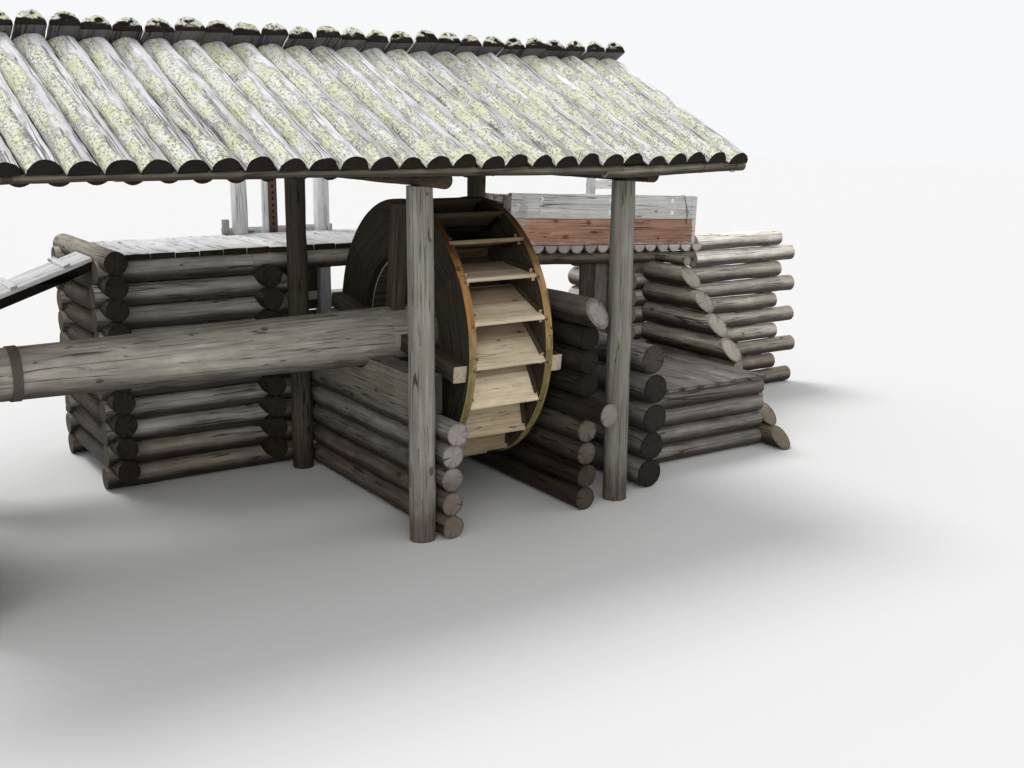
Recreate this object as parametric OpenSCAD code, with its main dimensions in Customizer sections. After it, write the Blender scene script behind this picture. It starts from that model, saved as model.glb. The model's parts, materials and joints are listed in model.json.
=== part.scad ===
// Timber water wheel plant: back-shot bucket wheel on a long log shaft, set in a log
// pit under an open log-roofed shelter, with dam crib, sluice gate, spillway and trough.
// Millimetres, Z up, X along the shaft (and ridge), Y upstream.
// Origin: on the level floor, straight below the middle of the wheel.

/* [Wheel] */
// outer radius of the wheel
wheel_r = 1000; // [800:10:1300]
// width over the outer faces of both shrouds
wheel_w = 700; // [500:10:1000]
// height of the shaft axis above the floor
axis_z = 1242; // [1150:1:1400]
// radial width of the shroud rings
ring_w = 415; // [300:5:480]
// thickness of the shroud planks
shroud_t = 60; // [40:1:80]
// plank segments in each shroud ring
segments = 10; // [8:2:12]
// number of buckets
buckets = 20; // [16:2:24]
// rest angle of the first bucket lip, measured from the front horizontal
wheel_phase = -6.1; // [-18:0.1:18]
// angle between the lip and the inner edge of a float
float_sweep = 22.5; // [15:0.5:30]
// height of a float's inner edge over the inner edge of the rings
float_rise = 105; // [70:5:180]
// thickness of the float boards
float_t = 28; // [20:1:40]
// length of the lip ears let into the shroud edges
ear_len = 26; // [10:1:40]
// depth of the lip ears
ear_deep = 42; // [20:1:60]
// thickness of the sole boards
sole_t = 25; // [18:1:40]
// how far the sole boards reach inside the rings
sole_drop = 12; // [5:1:20]
// side of the square cleats under the floats
cleat_s = 28; // [15:1:40]

/* [Shaft and arms] */
// shaft radius at the wheel
shaft_r = 212; // [150:1:230]
// shaft radius at the far end
shaft_far_r = 163; // [120:1:200]
// far end of the shaft log
shaft_x0 = -3420; // [-5000:10:-2000]
// arm thickness along the shaft
arm_t = 105; // [60:1:140]
// arm width across the shaft
arm_w = 120; // [80:1:160]
// how far the arm ends stay inside the rim
arm_short = 28; // [0:1:100]
// rest angle of the arms, measured like the bucket lips
arm_phase = -7.9; // [-18:0.1:18]
// radius of the iron gudgeons
gudgeon_r = 35; // [20:0.5:60]
// free length of the far gudgeon beyond its bearing
gudgeon_free = 110; // [60:5:200]
// radius of that free length
stub_r = 30; // [15:0.5:50]
// running clearance of a gudgeon in its bore
gudgeon_clear = 0.08; // [0.02:0.01:0.1]
// width of the iron bands on the shaft
band_w = 60; // [30:5:90]
// thickness of the iron bands
band_t = 8; // [4:1:12]
// distances of the bands from the far end of the shaft
band_at = [40, 300];

/* [Shelter] */
// half the distance between the post rows
row_y = 1005; // [900:5:1400]
// post pairs along the ridge
post_x = [-3600, -730, 950];
// post radius
post_r = 93; // [70:1:120]
// top of the posts
post_top = 2400; // [2200:10:2700]
// tie beam radius
tie_r = 72; // [50:1:100]
// reach of the tie beams beyond the post rows
tie_over = 325; // [100:5:400]
// plate radius
plate_r = 62; // [50:1:90]
// height of the plates' middle over the post tops
plate_lift = 185.6; // [140:0.2:220]
// ridge beam radius
ridge_r = 78; // [50:1:100]
// king post radius
king_r = 60; // [45:1:80]

/* [Roof] */
// slope of the roof in degrees
roof_pitch = 26; // [20:0.5:35]
// angle by which the cover logs lean off square to the ridge
roof_skew = 3.5; // [-6:0.5:6]
// ends of the roof along the eaves
roof_x0 = -4350; // [-5000:10:-4000]
roof_x1 = 1700; // [1300:10:2200]
// number of cover logs on each slope
roof_logs = 32; // [20:1:40]
// largest radius of the cover logs
over_r = 94; // [70:1:110]
// largest radius of the lower half logs
under_r = 90; // [70:1:110]
// eave reach of the cover logs from the ridge line
over_reach = 1465; // [1300:5:1700]
// eave reach of the lower half logs
under_reach = 1360; // [1200:5:1600]
// reach of the rear cover logs over the ridge
cap_over = 200; // [120:5:260]
// radius of the eave poles
pole_r = 37; // [25:1:50]
// reach of the eave poles past the roof ends
pole_over = 40; // [10:5:100]
// how far log ends differ
ragged = 20; // [0:1:30]

/* [Crib and deck] */
// log radius in the crib walls
log_r = 88; // [80:0.5:100]
// logs in the tall walls
wall_logs = 10; // [8:1:10]
// logs in the rear wall below the gate
sill_logs = 7; // [5:1:8]
// front face line of the dam
dam_y = 1235; // [1200:5:1400]
// rear wall line of the dam
rear_y = 2400; // [2000:10:2800]
// left and right side walls of the crib
crib_x = [-2142, -933];
// reach of the crib logs past the corners, left, right, front and rear
crib_tails = [115, 200, 210, 190];
// thickness of the deck planks
deck_t = 50; // [30:1:70]
// width step of the deck planks
deck_step = 190; // [120:5:260]
// distance of the rear deck bearer from the rear wall
joist_back = 300; // [200:10:500]
// radius of the front deck bearer
dam_joist_r = 80; // [60:1:100]
// radius of the deck posts
deck_post_r = 60; // [45:1:90]
// length of the ramp
ramp_len = 1350; // [800:10:2000]
// width of the ramp
ramp_w = 470; // [300:10:700]
// ramp slope in degrees
ramp_pitch = 19.5; // [5:0.5:25]
// top corner of the ramp, from the crib corner and the wall top
ramp_at = [-10, 60, 20];
// gap between ramp planks and crib
ramp_gap = 75; // [60:5:150]
// thickness of the ramp planks
ramp_t = 32; // [20:1:50]
// width and height of the ramp's side beams
ramp_beam = [56, 65];
// width and thickness of the ramp battens
batten = [50, 24];
// place of the first batten and step to the next
batten_at = [264, 400];

/* [Sluice gate] */
// middle of the gate opening
gate_x = -330; // [-500:5:0]
// distance between the gate post centres
gate_span = 780; // [600:10:1000]
// side of the square gate posts
gate_post_s = 110; // [80:5:140]
// top of the gate posts
gate_top = 2560; // [2300:10:2900]
// height of the gate leaf
leaf_h = 580; // [300:10:700]
// thickness of the gate leaf
leaf_t = 39; // [30:1:70]
// distance of the leaf's top below the wall top
leaf_drop = 90; // [40:10:200]
// width and thickness of the gate stem
stem = [130, 48];
// distance of the stem left of the gate's middle
stem_off = 118; // [0:2:200]
// width and height of the gate ledges
ledge = [38, 80];
// width of the iron rack
rack_w = 80; // [40:2:90]
// thickness of the iron rack
rack_t = 8; // [5:1:12]
// step of its square holes
rack_step = 55; // [30:1:80]
// width and height of its holes
rack_hole = [18, 22];
// reach, thickness and height of the low rail
rail = [130, 55, 95];
// left edges of the two posts of the flood gate frame
side_post_x = [3055, 3560];
// side of these posts
side_post_s = 74; // [60:2:140]
// top of these posts
side_top = 2330; // [2150:10:2600]
// distance of these posts from the rear wall line
side_back = 250; // [200:10:400]
// thickness and height of the rail, its foot below the top of the posts
side_rail = [50, 90, 228];

/* [Pit, pier and spillway] */
// line of the left pit wall
pit_x = -552.6; // [-700:0.2:-500]
// radius of the left pit wall logs
pit_r = 84; // [60:1:100]
// logs in the left pit wall
pit_logs = 5; // [3:1:7]
// front and rear ends of the left pit wall
pit_ends = [-1120, 1080];
// reach of its top log past the others
pit_over = 60; // [0:5:150]
// half length and height of the hewn beam on it
near_beam = [905, 270];
// edges of that beam along the shaft
near_beam_x = [-700, -512];
// clearance of the shaft in its saddle
saddle_gap = 8; // [6:1:20]
// distance of the far wall from the shaft's end
far_gap = 130; // [110:5:200]
// half lengths of the far wall logs and of the beam on them
far_half = [800, 760];
// half width, half length and height of a bearing block
block = [100, 150, 260];
// line of the wall between wheel and pier
pier_x = 590; // [560:2:700]
// radius of the logs between wheel and pier
pier_r = 86; // [70:1:110]
// logs in it
pier_logs = 8; // [6:1:9]
// front ends of its logs, the long one and the top one
pier_ends = [-1120, -1390, -1260];
// number of its long log
pier_long = 4; // [1:1:7]
// place and two angles of the cut at the top log's front end
top_cut = [-1200, -35, -12];
// radius of the top log of the pier wall
top_log_r = 105; // [90:1:140]
// line of the wall between pier and spillway
spill_x = 1340; // [1200:5:1600]
// radius of the logs beside the spillway
spill_r = 114; // [90:1:140]
// logs in that wall
spill_logs = 5; // [3:1:6]
// front ends of that wall
spill_front = -970; // [-1400:10:-700]
// distance of wall ends from the rear wall logs
wall_gap = 12; // [5:1:30]
// line of the wing wall
wing_x = 3070; // [2800:10:3400]
// radii of the wing wall logs from the floor up
wing_rs = [91, 91, 91, 60, 100, 100, 100, 100];
// slope of the cut wing wall ends in degrees
wing_cut = 45.5; // [30:0.5:70]
// point on the slope of the cut ends, as Y and Z
wing_cut_at = [180, 972];
// number of the thin log and its front end
thin_log = [3, -116];
// front end of the lowest logs
wing_front = -900; // [-1200:10:-600]
// radius of the thin pole on the wing wall
cap_r = 44; // [30:1:60]
// front end of that pole
cap_front = 629; // [400:1:900]
// reach of the crest log ends past the wing wall
crest_stub = 70; // [30:5:150]
// lowest crest log that shows such an end, and the lowest right of the trough
crest_from = [4, 8];
// crest of the spillway
crest_y = -560; // [-900:10:0]
// radius of the logs under the spillway floor
sill_r = 77; // [60:1:100]
// logs in each sill
sill_stack = 4; // [2:1:5]
// distance of the outer sills from the floor ends
sill_in = 90; // [80:5:200]
// place of the middle sill
sill_mid = 900; // [600:10:1100]
// thickness of the spillway floor planks
floor_t = 55; // [40:1:80]
// radius of the crest logs right of the trough
crest_r = 84; // [60:1:110]
// logs in the crest wall
crest_logs_n = 10; // [6:1:11]
// right end of the crest logs, and how much shorter every second one is
crest_end = [5150, 260];

/* [Trough] */
// ends of the plank trough
trough_x0 = 1360; // [1300:5:1600]
trough_x1 = 3580; // [3000:10:4000]
// outer width of the trough
trough_w = 620; // [400:10:900]
// front face line of the trough
trough_y = 1100; // [1100:5:1300]
// top of the floor logs at the left end
trough_z = 1700; // [1500:5:1800]
// fall of the trough to the right in degrees
trough_tilt = 2.4; // [0:0.1:3]
// heights of the lower and upper side planks
plank_h = [245, 228];
// how far the rear upper plank is lower, and how far the end board is
plank_drop = [35, 25];
// thickness of the side planks
plank_t = 52; // [30:1:70]
// radius of the floor half logs
floor_r = 72; // [50:1:90]
// radius of the bearer logs
bearer_r = 56; // [40:1:80]
// distance of the bearer logs from the trough's faces
bearer_in = 75; // [60:5:120]
// reach of the floor logs in front of and behind the trough
floor_over = [35, 30];
// radius of the trough posts
trough_post_r = 58; // [40:1:80]
// thickness of the end board
end_t = 40; // [25:1:60]
// places of the bolt pairs along the trough
bolt_x = [327, 1114, 1892];
// heights of the bolts on the upper plank
bolt_z = [62, 180];
// radius and thickness of the washers
washer = [21, 3];
// radius and height of the bolt heads
bolt_head = [11, 14];
// left edge of the upright boards under the trough
bulk_x = 2275; // [1800:10:2500]
// width and thickness of these boards
bulk_board = [155, 40];

/* [Output] */
// node to build

/* [Hidden] */
$fn = 96;
gap = 0.4;
half_w = wheel_w / 2;
ring_in = wheel_r - ring_w;
float_in_r = ring_in + float_rise;
arm_reach = wheel_r - arm_short;
arm_x = half_w + arm_t / 2;
far_x = shaft_x0 - far_gap;
board_half = (ring_in + sole_drop - sole_t - 1) * tan(90 / buckets) - 0.3;
shaft_x1 = half_w + arm_t + 14;
shaft_seam = -half_w - arm_t - 45;
plate_z = post_top + plate_lift;
under_apex = plate_z + row_y * tan(roof_pitch) + plate_r / cos(roof_pitch) + 0.5;
flat_apex = under_apex + under_r / cos(roof_pitch);
roof_step = (roof_x1 - roof_x0) / roof_logs;
pole_s = (under_reach + 1.4 * pole_r) / cos(roof_pitch);
tie_z = post_top + tie_r - 8;
ridge_z = under_apex - ridge_r / cos(roof_pitch) - 0.5;
log_step = 2 * log_r + gap;
wall_top = stack_z(wall_logs - 1, log_r) + log_r;
gate_y = rear_y - log_r - gate_post_s / 2 - gap;
leaf_y = gate_y + 8;
stem_y = leaf_y - stem[1];
stem_x = gate_x - stem_off;
leaf_w = gate_span - gate_post_s - 1.8;
leaf_z = wall_top - leaf_drop - leaf_h;
deck_x1 = pier_x - pier_r - 4;
dam_joist_x = crib_x[1] - 100;
joist_r = (wall_top - stack_z(wall_logs - 1.5, log_r) - log_r - gap) / 2;
spill_x0 = spill_x + spill_r + gap;
spill_z = stack_z(3, sill_r) + sill_r + gap;
wing_face = max(wing_rs);
wing_top = pile_z(wing_rs, len(wing_rs) - 1) + wing_rs[len(wing_rs) - 1];
bearer_z = -floor_r - bearer_r - gap;
trough_l = trough_x1 - trough_x0;
bearer_ys = [trough_y + bearer_in, trough_y + trough_w - bearer_in];
lip_dy = wheel_r - float_in_r * cos(float_sweep);
lip_dz = float_in_r * sin(float_sweep);
float_len = norm([lip_dy, lip_dz]);

// height of log k in a stack of like logs
function stack_z(k, r) = r + k * (2 * r + gap);

// height of log k in a pile of logs with their own radii
function pile_z(rs, k) = k == 0 ? rs[0] : pile_z(rs, k - 1) + rs[k - 1] + rs[k] + gap;

// repeatable small variation between -1 and 1
function vary(i, k) = let (v = sin(i * 97.3 + k * 41.7) * 43.7) 2 * (v - floor(v)) - 1;

// log along X from a to b
module log_x(a, b, y, z, r) {
    translate([a, y, z]) rotate([0, 90, 0]) cylinder(r = r, h = b - a);
}

// log along Y from a to b
module log_y(a, b, x, z, r) {
    translate([x, a, z]) rotate([-90, 0, 0]) cylinder(r = r, h = b - a);
}

// box given by its two corners
module span(p, q) {
    translate(p) cube(q - p);
}

// half log with its flat at n = 0, running along +Y
module half_log(x, s0, s1, r, up) {
    translate([x, s0, 0]) rotate([-90, 0, 0]) linear_extrude(s1 - s0)
        intersection() {
            circle(r);
            translate([-r, up ? -r : 0]) square([2 * r, r]);
        }
}

// frame of the rear slope, flat plane between both log layers
module rear_slope() {
    translate([0, 0, flat_apex]) rotate([-roof_pitch, 0, 0]) children();
}

module posts() color("#8d8375")
    for (x = post_x, s = [-1, 1])
        translate([x, s * row_y, 0]) cylinder(r1 = post_r, r2 = post_r - 5, h = post_top);

module tie_beams() color("#6f675c")
    for (x = post_x)
        difference() {
            log_y(-row_y - tie_over, row_y + tie_over, x, tie_z, tie_r);
            span([x - 2 * tie_r, -2 * row_y, post_top - tie_r], [x + 2 * tie_r, 2 * row_y, post_top]);
            for (m = [0, 1]) mirror([0, m, 0]) {
                log_x(x - 2 * tie_r, x + 2 * tie_r, row_y, plate_z, plate_r + gap);
                rear_slope() {
                    span([x - 2 * tie_r, -tie_r, -under_r - gap], [x + 2 * tie_r, 2 * row_y, over_r]);
                    log_x(x - 2 * tie_r, x + 2 * tie_r, pole_s, -pole_r - gap, pole_r + gap);
                }
            }
        }

module king_posts() color("#756c5f")
    for (x = post_x)
        difference() {
            translate([x, 0, tie_z]) cylinder(r = king_r, h = ridge_z - tie_z);
            log_y(-2 * king_r, 2 * king_r, x, tie_z, tie_r + gap);
            log_x(x - 2 * king_r, x + 2 * king_r, 0, ridge_z, ridge_r + gap);
        }

module ridge_beam() color("#6f675c")
    log_x(roof_x0 + under_r, roof_x1 - 2 * under_r, 0, ridge_z, ridge_r);

module plates() color("#6f675c")
    for (s = [-1, 1])
        log_x(roof_x0 + under_r - ragged, roof_x1 - under_r + ragged, s * row_y, plate_z, plate_r);

module under_logs() {
    for (i = [1 : roof_logs - 1])
        half_log(roof_x0 + i * roof_step, -under_r,
            under_reach / cos(roof_pitch) + 0.5 * ragged * vary(i, 2), under_r, false);
}

module over_logs(s0, k) {
    for (i = [0 : roof_logs - 1])
        translate([roof_x0 + (i + 0.5) * roof_step, over_reach / cos(roof_pitch), 0])
            rotate([0, 0, -roof_skew])
                half_log(0, s0 - over_reach / cos(roof_pitch) + 1.1 * ragged * vary(i, k),
                    0.8 * ragged * vary(i, k + 1), over_r * (0.968 - 0.032 * vary(i, k + 2)), true);
}

module under_slope()
    intersection() {
        rear_slope() under_logs();
        span([roof_x0 - under_r, 0.3, 0], [roof_x1 + under_r, 2 * over_reach, 2 * flat_apex]);
    }

module roof_under() color("#8a857b") {
    under_slope();
    mirror([0, 1, 0]) under_slope();
}

// rear cover logs reach over the ridge, front ones stop below them
module roof_over() color("#a5a28f") {
    rear_slope() over_logs(-cap_over / cos(roof_pitch), 5);
    intersection() {
        mirror([0, 1, 0]) rear_slope() over_logs(0, 9);
        rear_slope()
            span([roof_x0 - 3 * over_r, -2 * over_reach, -2 * over_reach], [roof_x1 + over_r, over_reach, -gap]);
    }
}

module eave_poles() color("#b5aa94")
    for (m = [0, 1]) mirror([0, m, 0])
        rear_slope()
            log_x(roof_x0 - pole_over, roof_x1 + pole_over, pole_s, -pole_r - gap, pole_r);

// crib walls along X: front line for the crib, rear line on to the pier below the gate
module crib_logs_x() color("#9a9484") {
    for (k = [0 : wall_logs - 1])
        difference() {
            log_x(crib_x[0] - crib_tails[0] + 0.8 * ragged * vary(k, 1),
                k < wall_logs - 1 ? crib_x[1] + crib_tails[1] + 0.8 * ragged * vary(k, 2) : dam_joist_x - 5,
                dam_y, stack_z(k, log_r), log_r);
            if (k > 0) for (x = crib_x) y_notch(x, dam_y, k - 0.5);
            if (k == wall_logs - 1) y_notch(crib_x[0], dam_y, k + 0.5);
        }
    for (k = [0 : wall_logs - 1])
        difference() {
            log_x(crib_x[0] - crib_tails[0] + 0.8 * ragged * vary(k, 3),
                k < sill_logs ? spill_x + spill_r : crib_x[1] + crib_tails[1], rear_y, stack_z(k, log_r), log_r);
            if (k > 0) for (x = crib_x) y_notch(x, rear_y, k - 0.5);
            if (k == wall_logs - 1) y_notch(crib_x[0], rear_y, k + 0.5);
        }
}

module y_notch(x, y, level)
    log_y(y - 3 * log_r, y + 3 * log_r, x, stack_z(level, log_r), log_r + gap);

// crib side walls along Y, saddled over the X logs below, the left one a log higher
module crib_logs_y() color("#8f8878")
    for (i = [0, 1], k = [0 : wall_logs - 1 - i])
        difference() {
            log_y(dam_y - crib_tails[2] + 0.9 * ragged * vary(k, 5 + i), rear_y + crib_tails[3], crib_x[i],
                stack_z(k + 0.5, log_r), log_r);
            if (k < wall_logs - 1)
                for (y = [dam_y, rear_y])
                    log_x(crib_x[i] - 3 * log_r, crib_x[i] + 3 * log_r, y, stack_z(k, log_r), log_r + gap);
            if (k == wall_logs - 1)
                span([crib_x[i] - 2 * log_r, 0, 0], [crib_x[i] + 2 * log_r, 2 * rear_y, wall_top - log_r]);
        }

// logs that carry the deck beside and behind the crib
module deck_bearers() color("#9a9484") {
    log_x(crib_x[0] + log_r + 2, deck_x1, rear_y - joist_back, wall_top - joist_r, joist_r);
    difference() {
        log_x(dam_joist_x, deck_x1, dam_y, wall_top - dam_joist_r, dam_joist_r);
        y_notch(crib_x[1], dam_y, wall_logs - 1.5);
        log_x(dam_joist_x - 1, crib_x[1] + 2 * crib_tails[1], dam_y, stack_z(wall_logs - 2, log_r), log_r + gap);
    }
}

module deck_posts() color("#8d8375")
    difference() {
        for (y = [dam_y, rear_y - joist_back])
            translate([pier_x - top_log_r - deck_post_r - gap, y, 0])
                cylinder(r = deck_post_r, h = wall_top - deck_post_r);
        log_x(0, pier_x, rear_y - joist_back, wall_top - joist_r, joist_r + gap);
        log_x(0, pier_x, dam_y, wall_top - dam_joist_r, dam_joist_r + gap);
    }

// deck planks run across, with a ragged front line
module deck_planks() color("#c9c6bd") {
    x0 = crib_x[0] + log_r + 14;
    n = floor((deck_x1 - x0) / deck_step);
    for (i = [0 : n - 1])
        span([x0 + i * deck_step + 2, dam_y - log_r - 7 + 0.7 * ragged * vary(i, 3), wall_top],
            [x0 + (i + 1) * deck_step - 2, gate_y - gate_post_s / 2 - 3, wall_top + deck_t]);
}

// frame of the ramp: x along the slope, downhill to the left, planks from z = 30 up
module ramp_frame()
    translate([crib_x[0] + ramp_at[0], dam_y + ramp_at[1], wall_top + ramp_at[2] - 30])
        rotate([0, -ramp_pitch, 0]) children();

module ramp_planks() color("#c9c6bd")
    ramp_frame()
        for (i = [0 : 3])
            span([-ramp_len - 2 * ragged * vary(i, 1), i * ramp_w / 4 + 4, 30],
                [-ramp_gap, (i + 1) * ramp_w / 4 - 4, 30 + ramp_t]);

module ramp_battens() color("#b9b5aa")
    ramp_frame()
        for (i = [0 : 2])
            translate([-batten_at[0] - i * batten_at[1] - batten[0] / 2, -ragged, 30 + ramp_t])
                cube([batten[0], ramp_w + 2 * ragged, batten[1]]);

// side beams of the ramp and the trestle at its foot
module ramp_foot() color("#9a9484") {
    x = crib_x[0] + ramp_at[0] - 0.9 * ramp_len * cos(ramp_pitch);
    for (y = [ramp_beam[0] / 2 + 2, ramp_w - ramp_beam[0] / 2 - 2]) {
        difference() {
            ramp_frame()
                span([-ramp_len + 2 * ragged, y - ramp_beam[0] / 2, 30 - gap - ramp_beam[1]],
                    [-ramp_gap, y + ramp_beam[0] / 2, 30 - gap]);
            log_x(2 * crib_x[0], 0, dam_y, stack_z(wall_logs - 1, log_r), log_r + gap);
            log_y(0, 2 * rear_y, crib_x[0], stack_z(wall_logs - 0.5, log_r), log_r + gap);
            log_y(0, 2 * rear_y, crib_x[0], stack_z(wall_logs - 1.5, log_r), log_r + gap);
        }
        difference() {
            translate([x, dam_y + ramp_at[1] + y, 0]) cylinder(r = ramp_beam[0], h = wall_top);
            ramp_frame()
                span([-2 * ramp_len, -ramp_w, 30 - 2 * gap - ramp_beam[1]], [ramp_len, 2 * ramp_w, wall_top]);
        }
    }
}

module gate_posts() color("#bdbab2")
    for (s = [-1, 1])
        translate([gate_x + s * gate_span / 2 - gate_post_s / 2, gate_y - gate_post_s / 2, 0])
            cube([gate_post_s, gate_post_s, gate_top]);

// low rail behind the posts
module gate_rail() color("#aaa69b")
    translate([gate_x - gate_span / 2 - rail[0], gate_y + gate_post_s / 2, wall_top + 2])
        cube([gate_span + 2 * rail[0], rail[1], rail[2]]);

// upright boards of the gate leaf
module gate_leaf() color("#7d7466") {
    step = leaf_w / 4;
    for (i = [0 : 3])
        span([gate_x - leaf_w / 2 + i * step + 0.5, leaf_y, leaf_z],
            [gate_x - leaf_w / 2 + (i + 1) * step - 0.5, leaf_y + leaf_t, leaf_z + leaf_h]);
}

// timber stem and the ledges that tie the leaf boards
module gate_stem() color("#aaa69b") {
    translate([stem_x - stem[0] / 2, stem_y, leaf_z + 60])
        cube([stem[0], stem[1], gate_top - leaf_z - 120]);
    for (z = [leaf_z + ledge[1], leaf_z + leaf_h - 1.25 * ledge[1]]) {
        span([gate_x - leaf_w / 2 + 20, leaf_y - ledge[0], z],
            [stem_x - stem[0] / 2 - 1, leaf_y, z + ledge[1]]);
        span([stem_x + stem[0] / 2 + 1, leaf_y - ledge[0], z],
            [gate_x + leaf_w / 2 - 20, leaf_y, z + ledge[1]]);
    }
}

// iron rack with square holes
module gate_rack() color("#7a4a35") {
    z0 = wall_top + 20;
    z1 = gate_top - 80;
    x = stem_x + stem[0] / 2 - rack_w / 2 - 2;
    difference() {
        span([x - rack_w / 2, stem_y - rack_t, z0], [x + rack_w / 2, stem_y, z1]);
        for (z = [z0 + 0.7 * rack_step : rack_step : z1 - 0.7 * rack_step])
            translate([x - rack_hole[0] / 2, stem_y - 2 * rack_t, z])
                cube([rack_hole[0], 3 * rack_t, rack_hole[1]]);
    }
}

module pit_wall() color("#8f8878")
    for (k = [0 : pit_logs - 1])
        log_y(pit_ends[0] - (k == pit_logs - 1 ? pit_over : 0) + 0.75 * ragged * vary(k, 2), pit_ends[1],
            pit_x, stack_z(k, pit_r), pit_r);

// hewn beam on the pit wall with a saddle cut clear of the shaft
module bearer_near() color("#8a8270")
    difference() {
        z0 = stack_z(pit_logs - 1, pit_r) + pit_r + gap;
        span([near_beam_x[0], -near_beam[0], z0], [near_beam_x[1], near_beam[0], z0 + near_beam[1]]);
        log_x(near_beam_x[0] - 10, near_beam_x[1] + 10, 0, axis_z, shaft_r + saddle_gap);
    }

// wall between wheel and pier, open pocket for the right bearing block
module pier_wall() color("#857d6e")
    difference() {
        union() {
            for (k = [0 : pier_logs - 1])
                log_y(pier_ends[k == pier_long ? 1 : 0] + ragged * vary(k, 3), rear_y - log_r - wall_gap,
                    pier_x, stack_z(k, pier_r), pier_r);
            difference() {
                log_y(pier_ends[2], dam_y + 300, pier_x,
                    stack_z(pier_logs - 1, pier_r) + pier_r + top_log_r + gap, top_log_r);
                translate([pier_x, top_cut[0], stack_z(pier_logs, pier_r)])
                    rotate([top_cut[1], 0, top_cut[2]])
                        translate([-2 * top_log_r, -4 * top_log_r, -3 * top_log_r])
                            cube([4 * top_log_r, 4 * top_log_r, 7 * top_log_r]);
            }
        }
        bearing_block(pier_x);
    }

// block below and around a gudgeon
module bearing_block(x)
    translate([x - block[0], -block[1], axis_z - block[2] / 2])
        cube([2 * block[0], 2 * block[1], block[2]]);

module bearing_right() color("#6b6355")
    difference() {
        bearing_block(pier_x);
        log_x(pier_x - 2 * block[0], pier_x + 2 * block[0], 0, axis_z, gudgeon_r + gudgeon_clear);
    }

module spill_wall() color("#857d6e")
    for (k = [0 : spill_logs - 1])
        log_y(spill_front + 1.25 * ragged * vary(k, 4), rear_y - log_r - wall_gap, spill_x,
            stack_z(k, spill_r), spill_r);

module spill_floor() color("#7b7364") {
    step = (wing_x - wing_face - gap - spill_x0) / 8;
    for (i = [0 : 7])
        span([spill_x0 + i * step + 0.5, crest_y + 0.6 * ragged * vary(i, 8), spill_z],
            [spill_x0 + (i + 1) * step - 0.5, rear_y, spill_z + floor_t]);
}

module spill_sills() color("#7b7364")
    for (y = [crest_y + sill_in, sill_mid, rear_y - sill_in], k = [0 : sill_stack - 1])
        log_x(spill_x0, wing_x - wing_rs[0] - gap, y, stack_z(k, sill_r), sill_r);

// wing wall on both sides of the crest logs, front ends cut to one slope
module wing_wall() color("#a39b87")
    for (k = [0 : len(wing_rs) - 1]) {
        z = pile_z(wing_rs, k);
        log_y(dam_y + crest_r + gap, rear_y, wing_x, z, wing_rs[k]);
        difference() {
            log_y(k == thin_log[0] ? thin_log[1] : wing_front, dam_y - crest_r - gap, wing_x, z, wing_rs[k]);
            translate([wing_x - 2 * wing_face, wing_cut_at[0], wing_cut_at[1]]) rotate([wing_cut, 0, 0])
                translate([0, -2 * wing_x, 0]) cube([4 * wing_face, 4 * wing_x, 2 * wing_x]);
        }
    }

// thin pole lying on the wing wall up to the trough
module wing_cap() color("#b8b09b")
    log_y(cap_front, trough_y - floor_over[0] - ragged, wing_x, wing_top + cap_r + gap, cap_r);

// cross wall right of the wing wall, its log ends pass the wing wall on the channel side
module crest_logs() color("#a8a294")
    for (k = [0 : crest_logs_n - 1]) {
        stub = k < crest_from[0] ? wing_x - wing_rs[0] : wing_x - wing_face - crest_stub;
        log_x(k < crest_from[1] ? stub : trough_x1 + 5 * ragged,
            crest_end[0] - crest_end[1] * (k % 2) + 3 * ragged * vary(k, 2), dam_y, stack_z(k, crest_r), crest_r);
    }

// flood gate frame on the far bank: posts and a rail
module side_frame() color("#aaa69b") {
    y = rear_y - side_back;
    for (x = side_post_x)
        span([x, y, x < wing_x ? wing_top + gap : 0], [x + side_post_s, y + side_post_s, side_top]);
    span([side_post_x[0] + side_post_s + gap, y + 12, side_top - side_rail[2]],
        [side_post_x[1] - gap, y + 12 + side_rail[0], side_top - side_rail[2] + side_rail[1]]);
}

// frame of the trough: x along it from its left end, z = 0 on the floor logs
module trough_frame()
    translate([trough_x0, 0, trough_z]) rotate([0, trough_tilt, 0]) children();

// upper and lower planks of both sides
module trough_sides() color("#a08a78")
    trough_frame()
        for (j = [0, 1], i = [0, 1])
            translate([0, trough_y + j * (trough_w - plank_t), i * (plank_h[0] + gap)])
                cube([trough_l, plank_t, plank_h[i] - i * j * plank_drop[0]]);

// crosswise half logs, flat side up
module trough_floor() color("#a39b87") {
    step = 2 * floor_r + 6;
    trough_frame()
        for (i = [0 : floor(trough_l / step) + 1])
            half_log(trough_l + 15 - i * step, trough_y - floor_over[0] + 0.6 * ragged * vary(i, 3),
                trough_y + trough_w + floor_over[1], floor_r, false);
}

module bearer(y, r)
    trough_frame() log_x(-60, trough_l + 40, y, bearer_z, r);

module trough_bearers() color("#8f8878")
    difference() {
        for (y = bearer_ys) bearer(y, bearer_r);
        log_y(trough_y - bearer_r, trough_y + trough_w + bearer_r, wing_x, wing_top - wing_face,
            wing_face + gap);
    }

module trough_end() color("#7c4f3c")
    trough_frame()
        translate([8, trough_y + plank_t, 0])
            cube([end_t, trough_w - 2 * plank_t, plank_h[0] + plank_h[1] - plank_drop[1]]);

module trough_posts() color("#8d8375")
    difference() {
        for (y = bearer_ys)
            translate([spill_x + 40, y, stack_z(spill_logs - 1, spill_r)])
                cylinder(r = trough_post_r, h = trough_z + bearer_z - stack_z(spill_logs - 1, spill_r) - 4);
        log_y(trough_y - spill_r, rear_y, spill_x, stack_z(spill_logs - 1, spill_r), spill_r + gap);
        for (y = bearer_ys) bearer(y, bearer_r + gap);
    }

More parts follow.
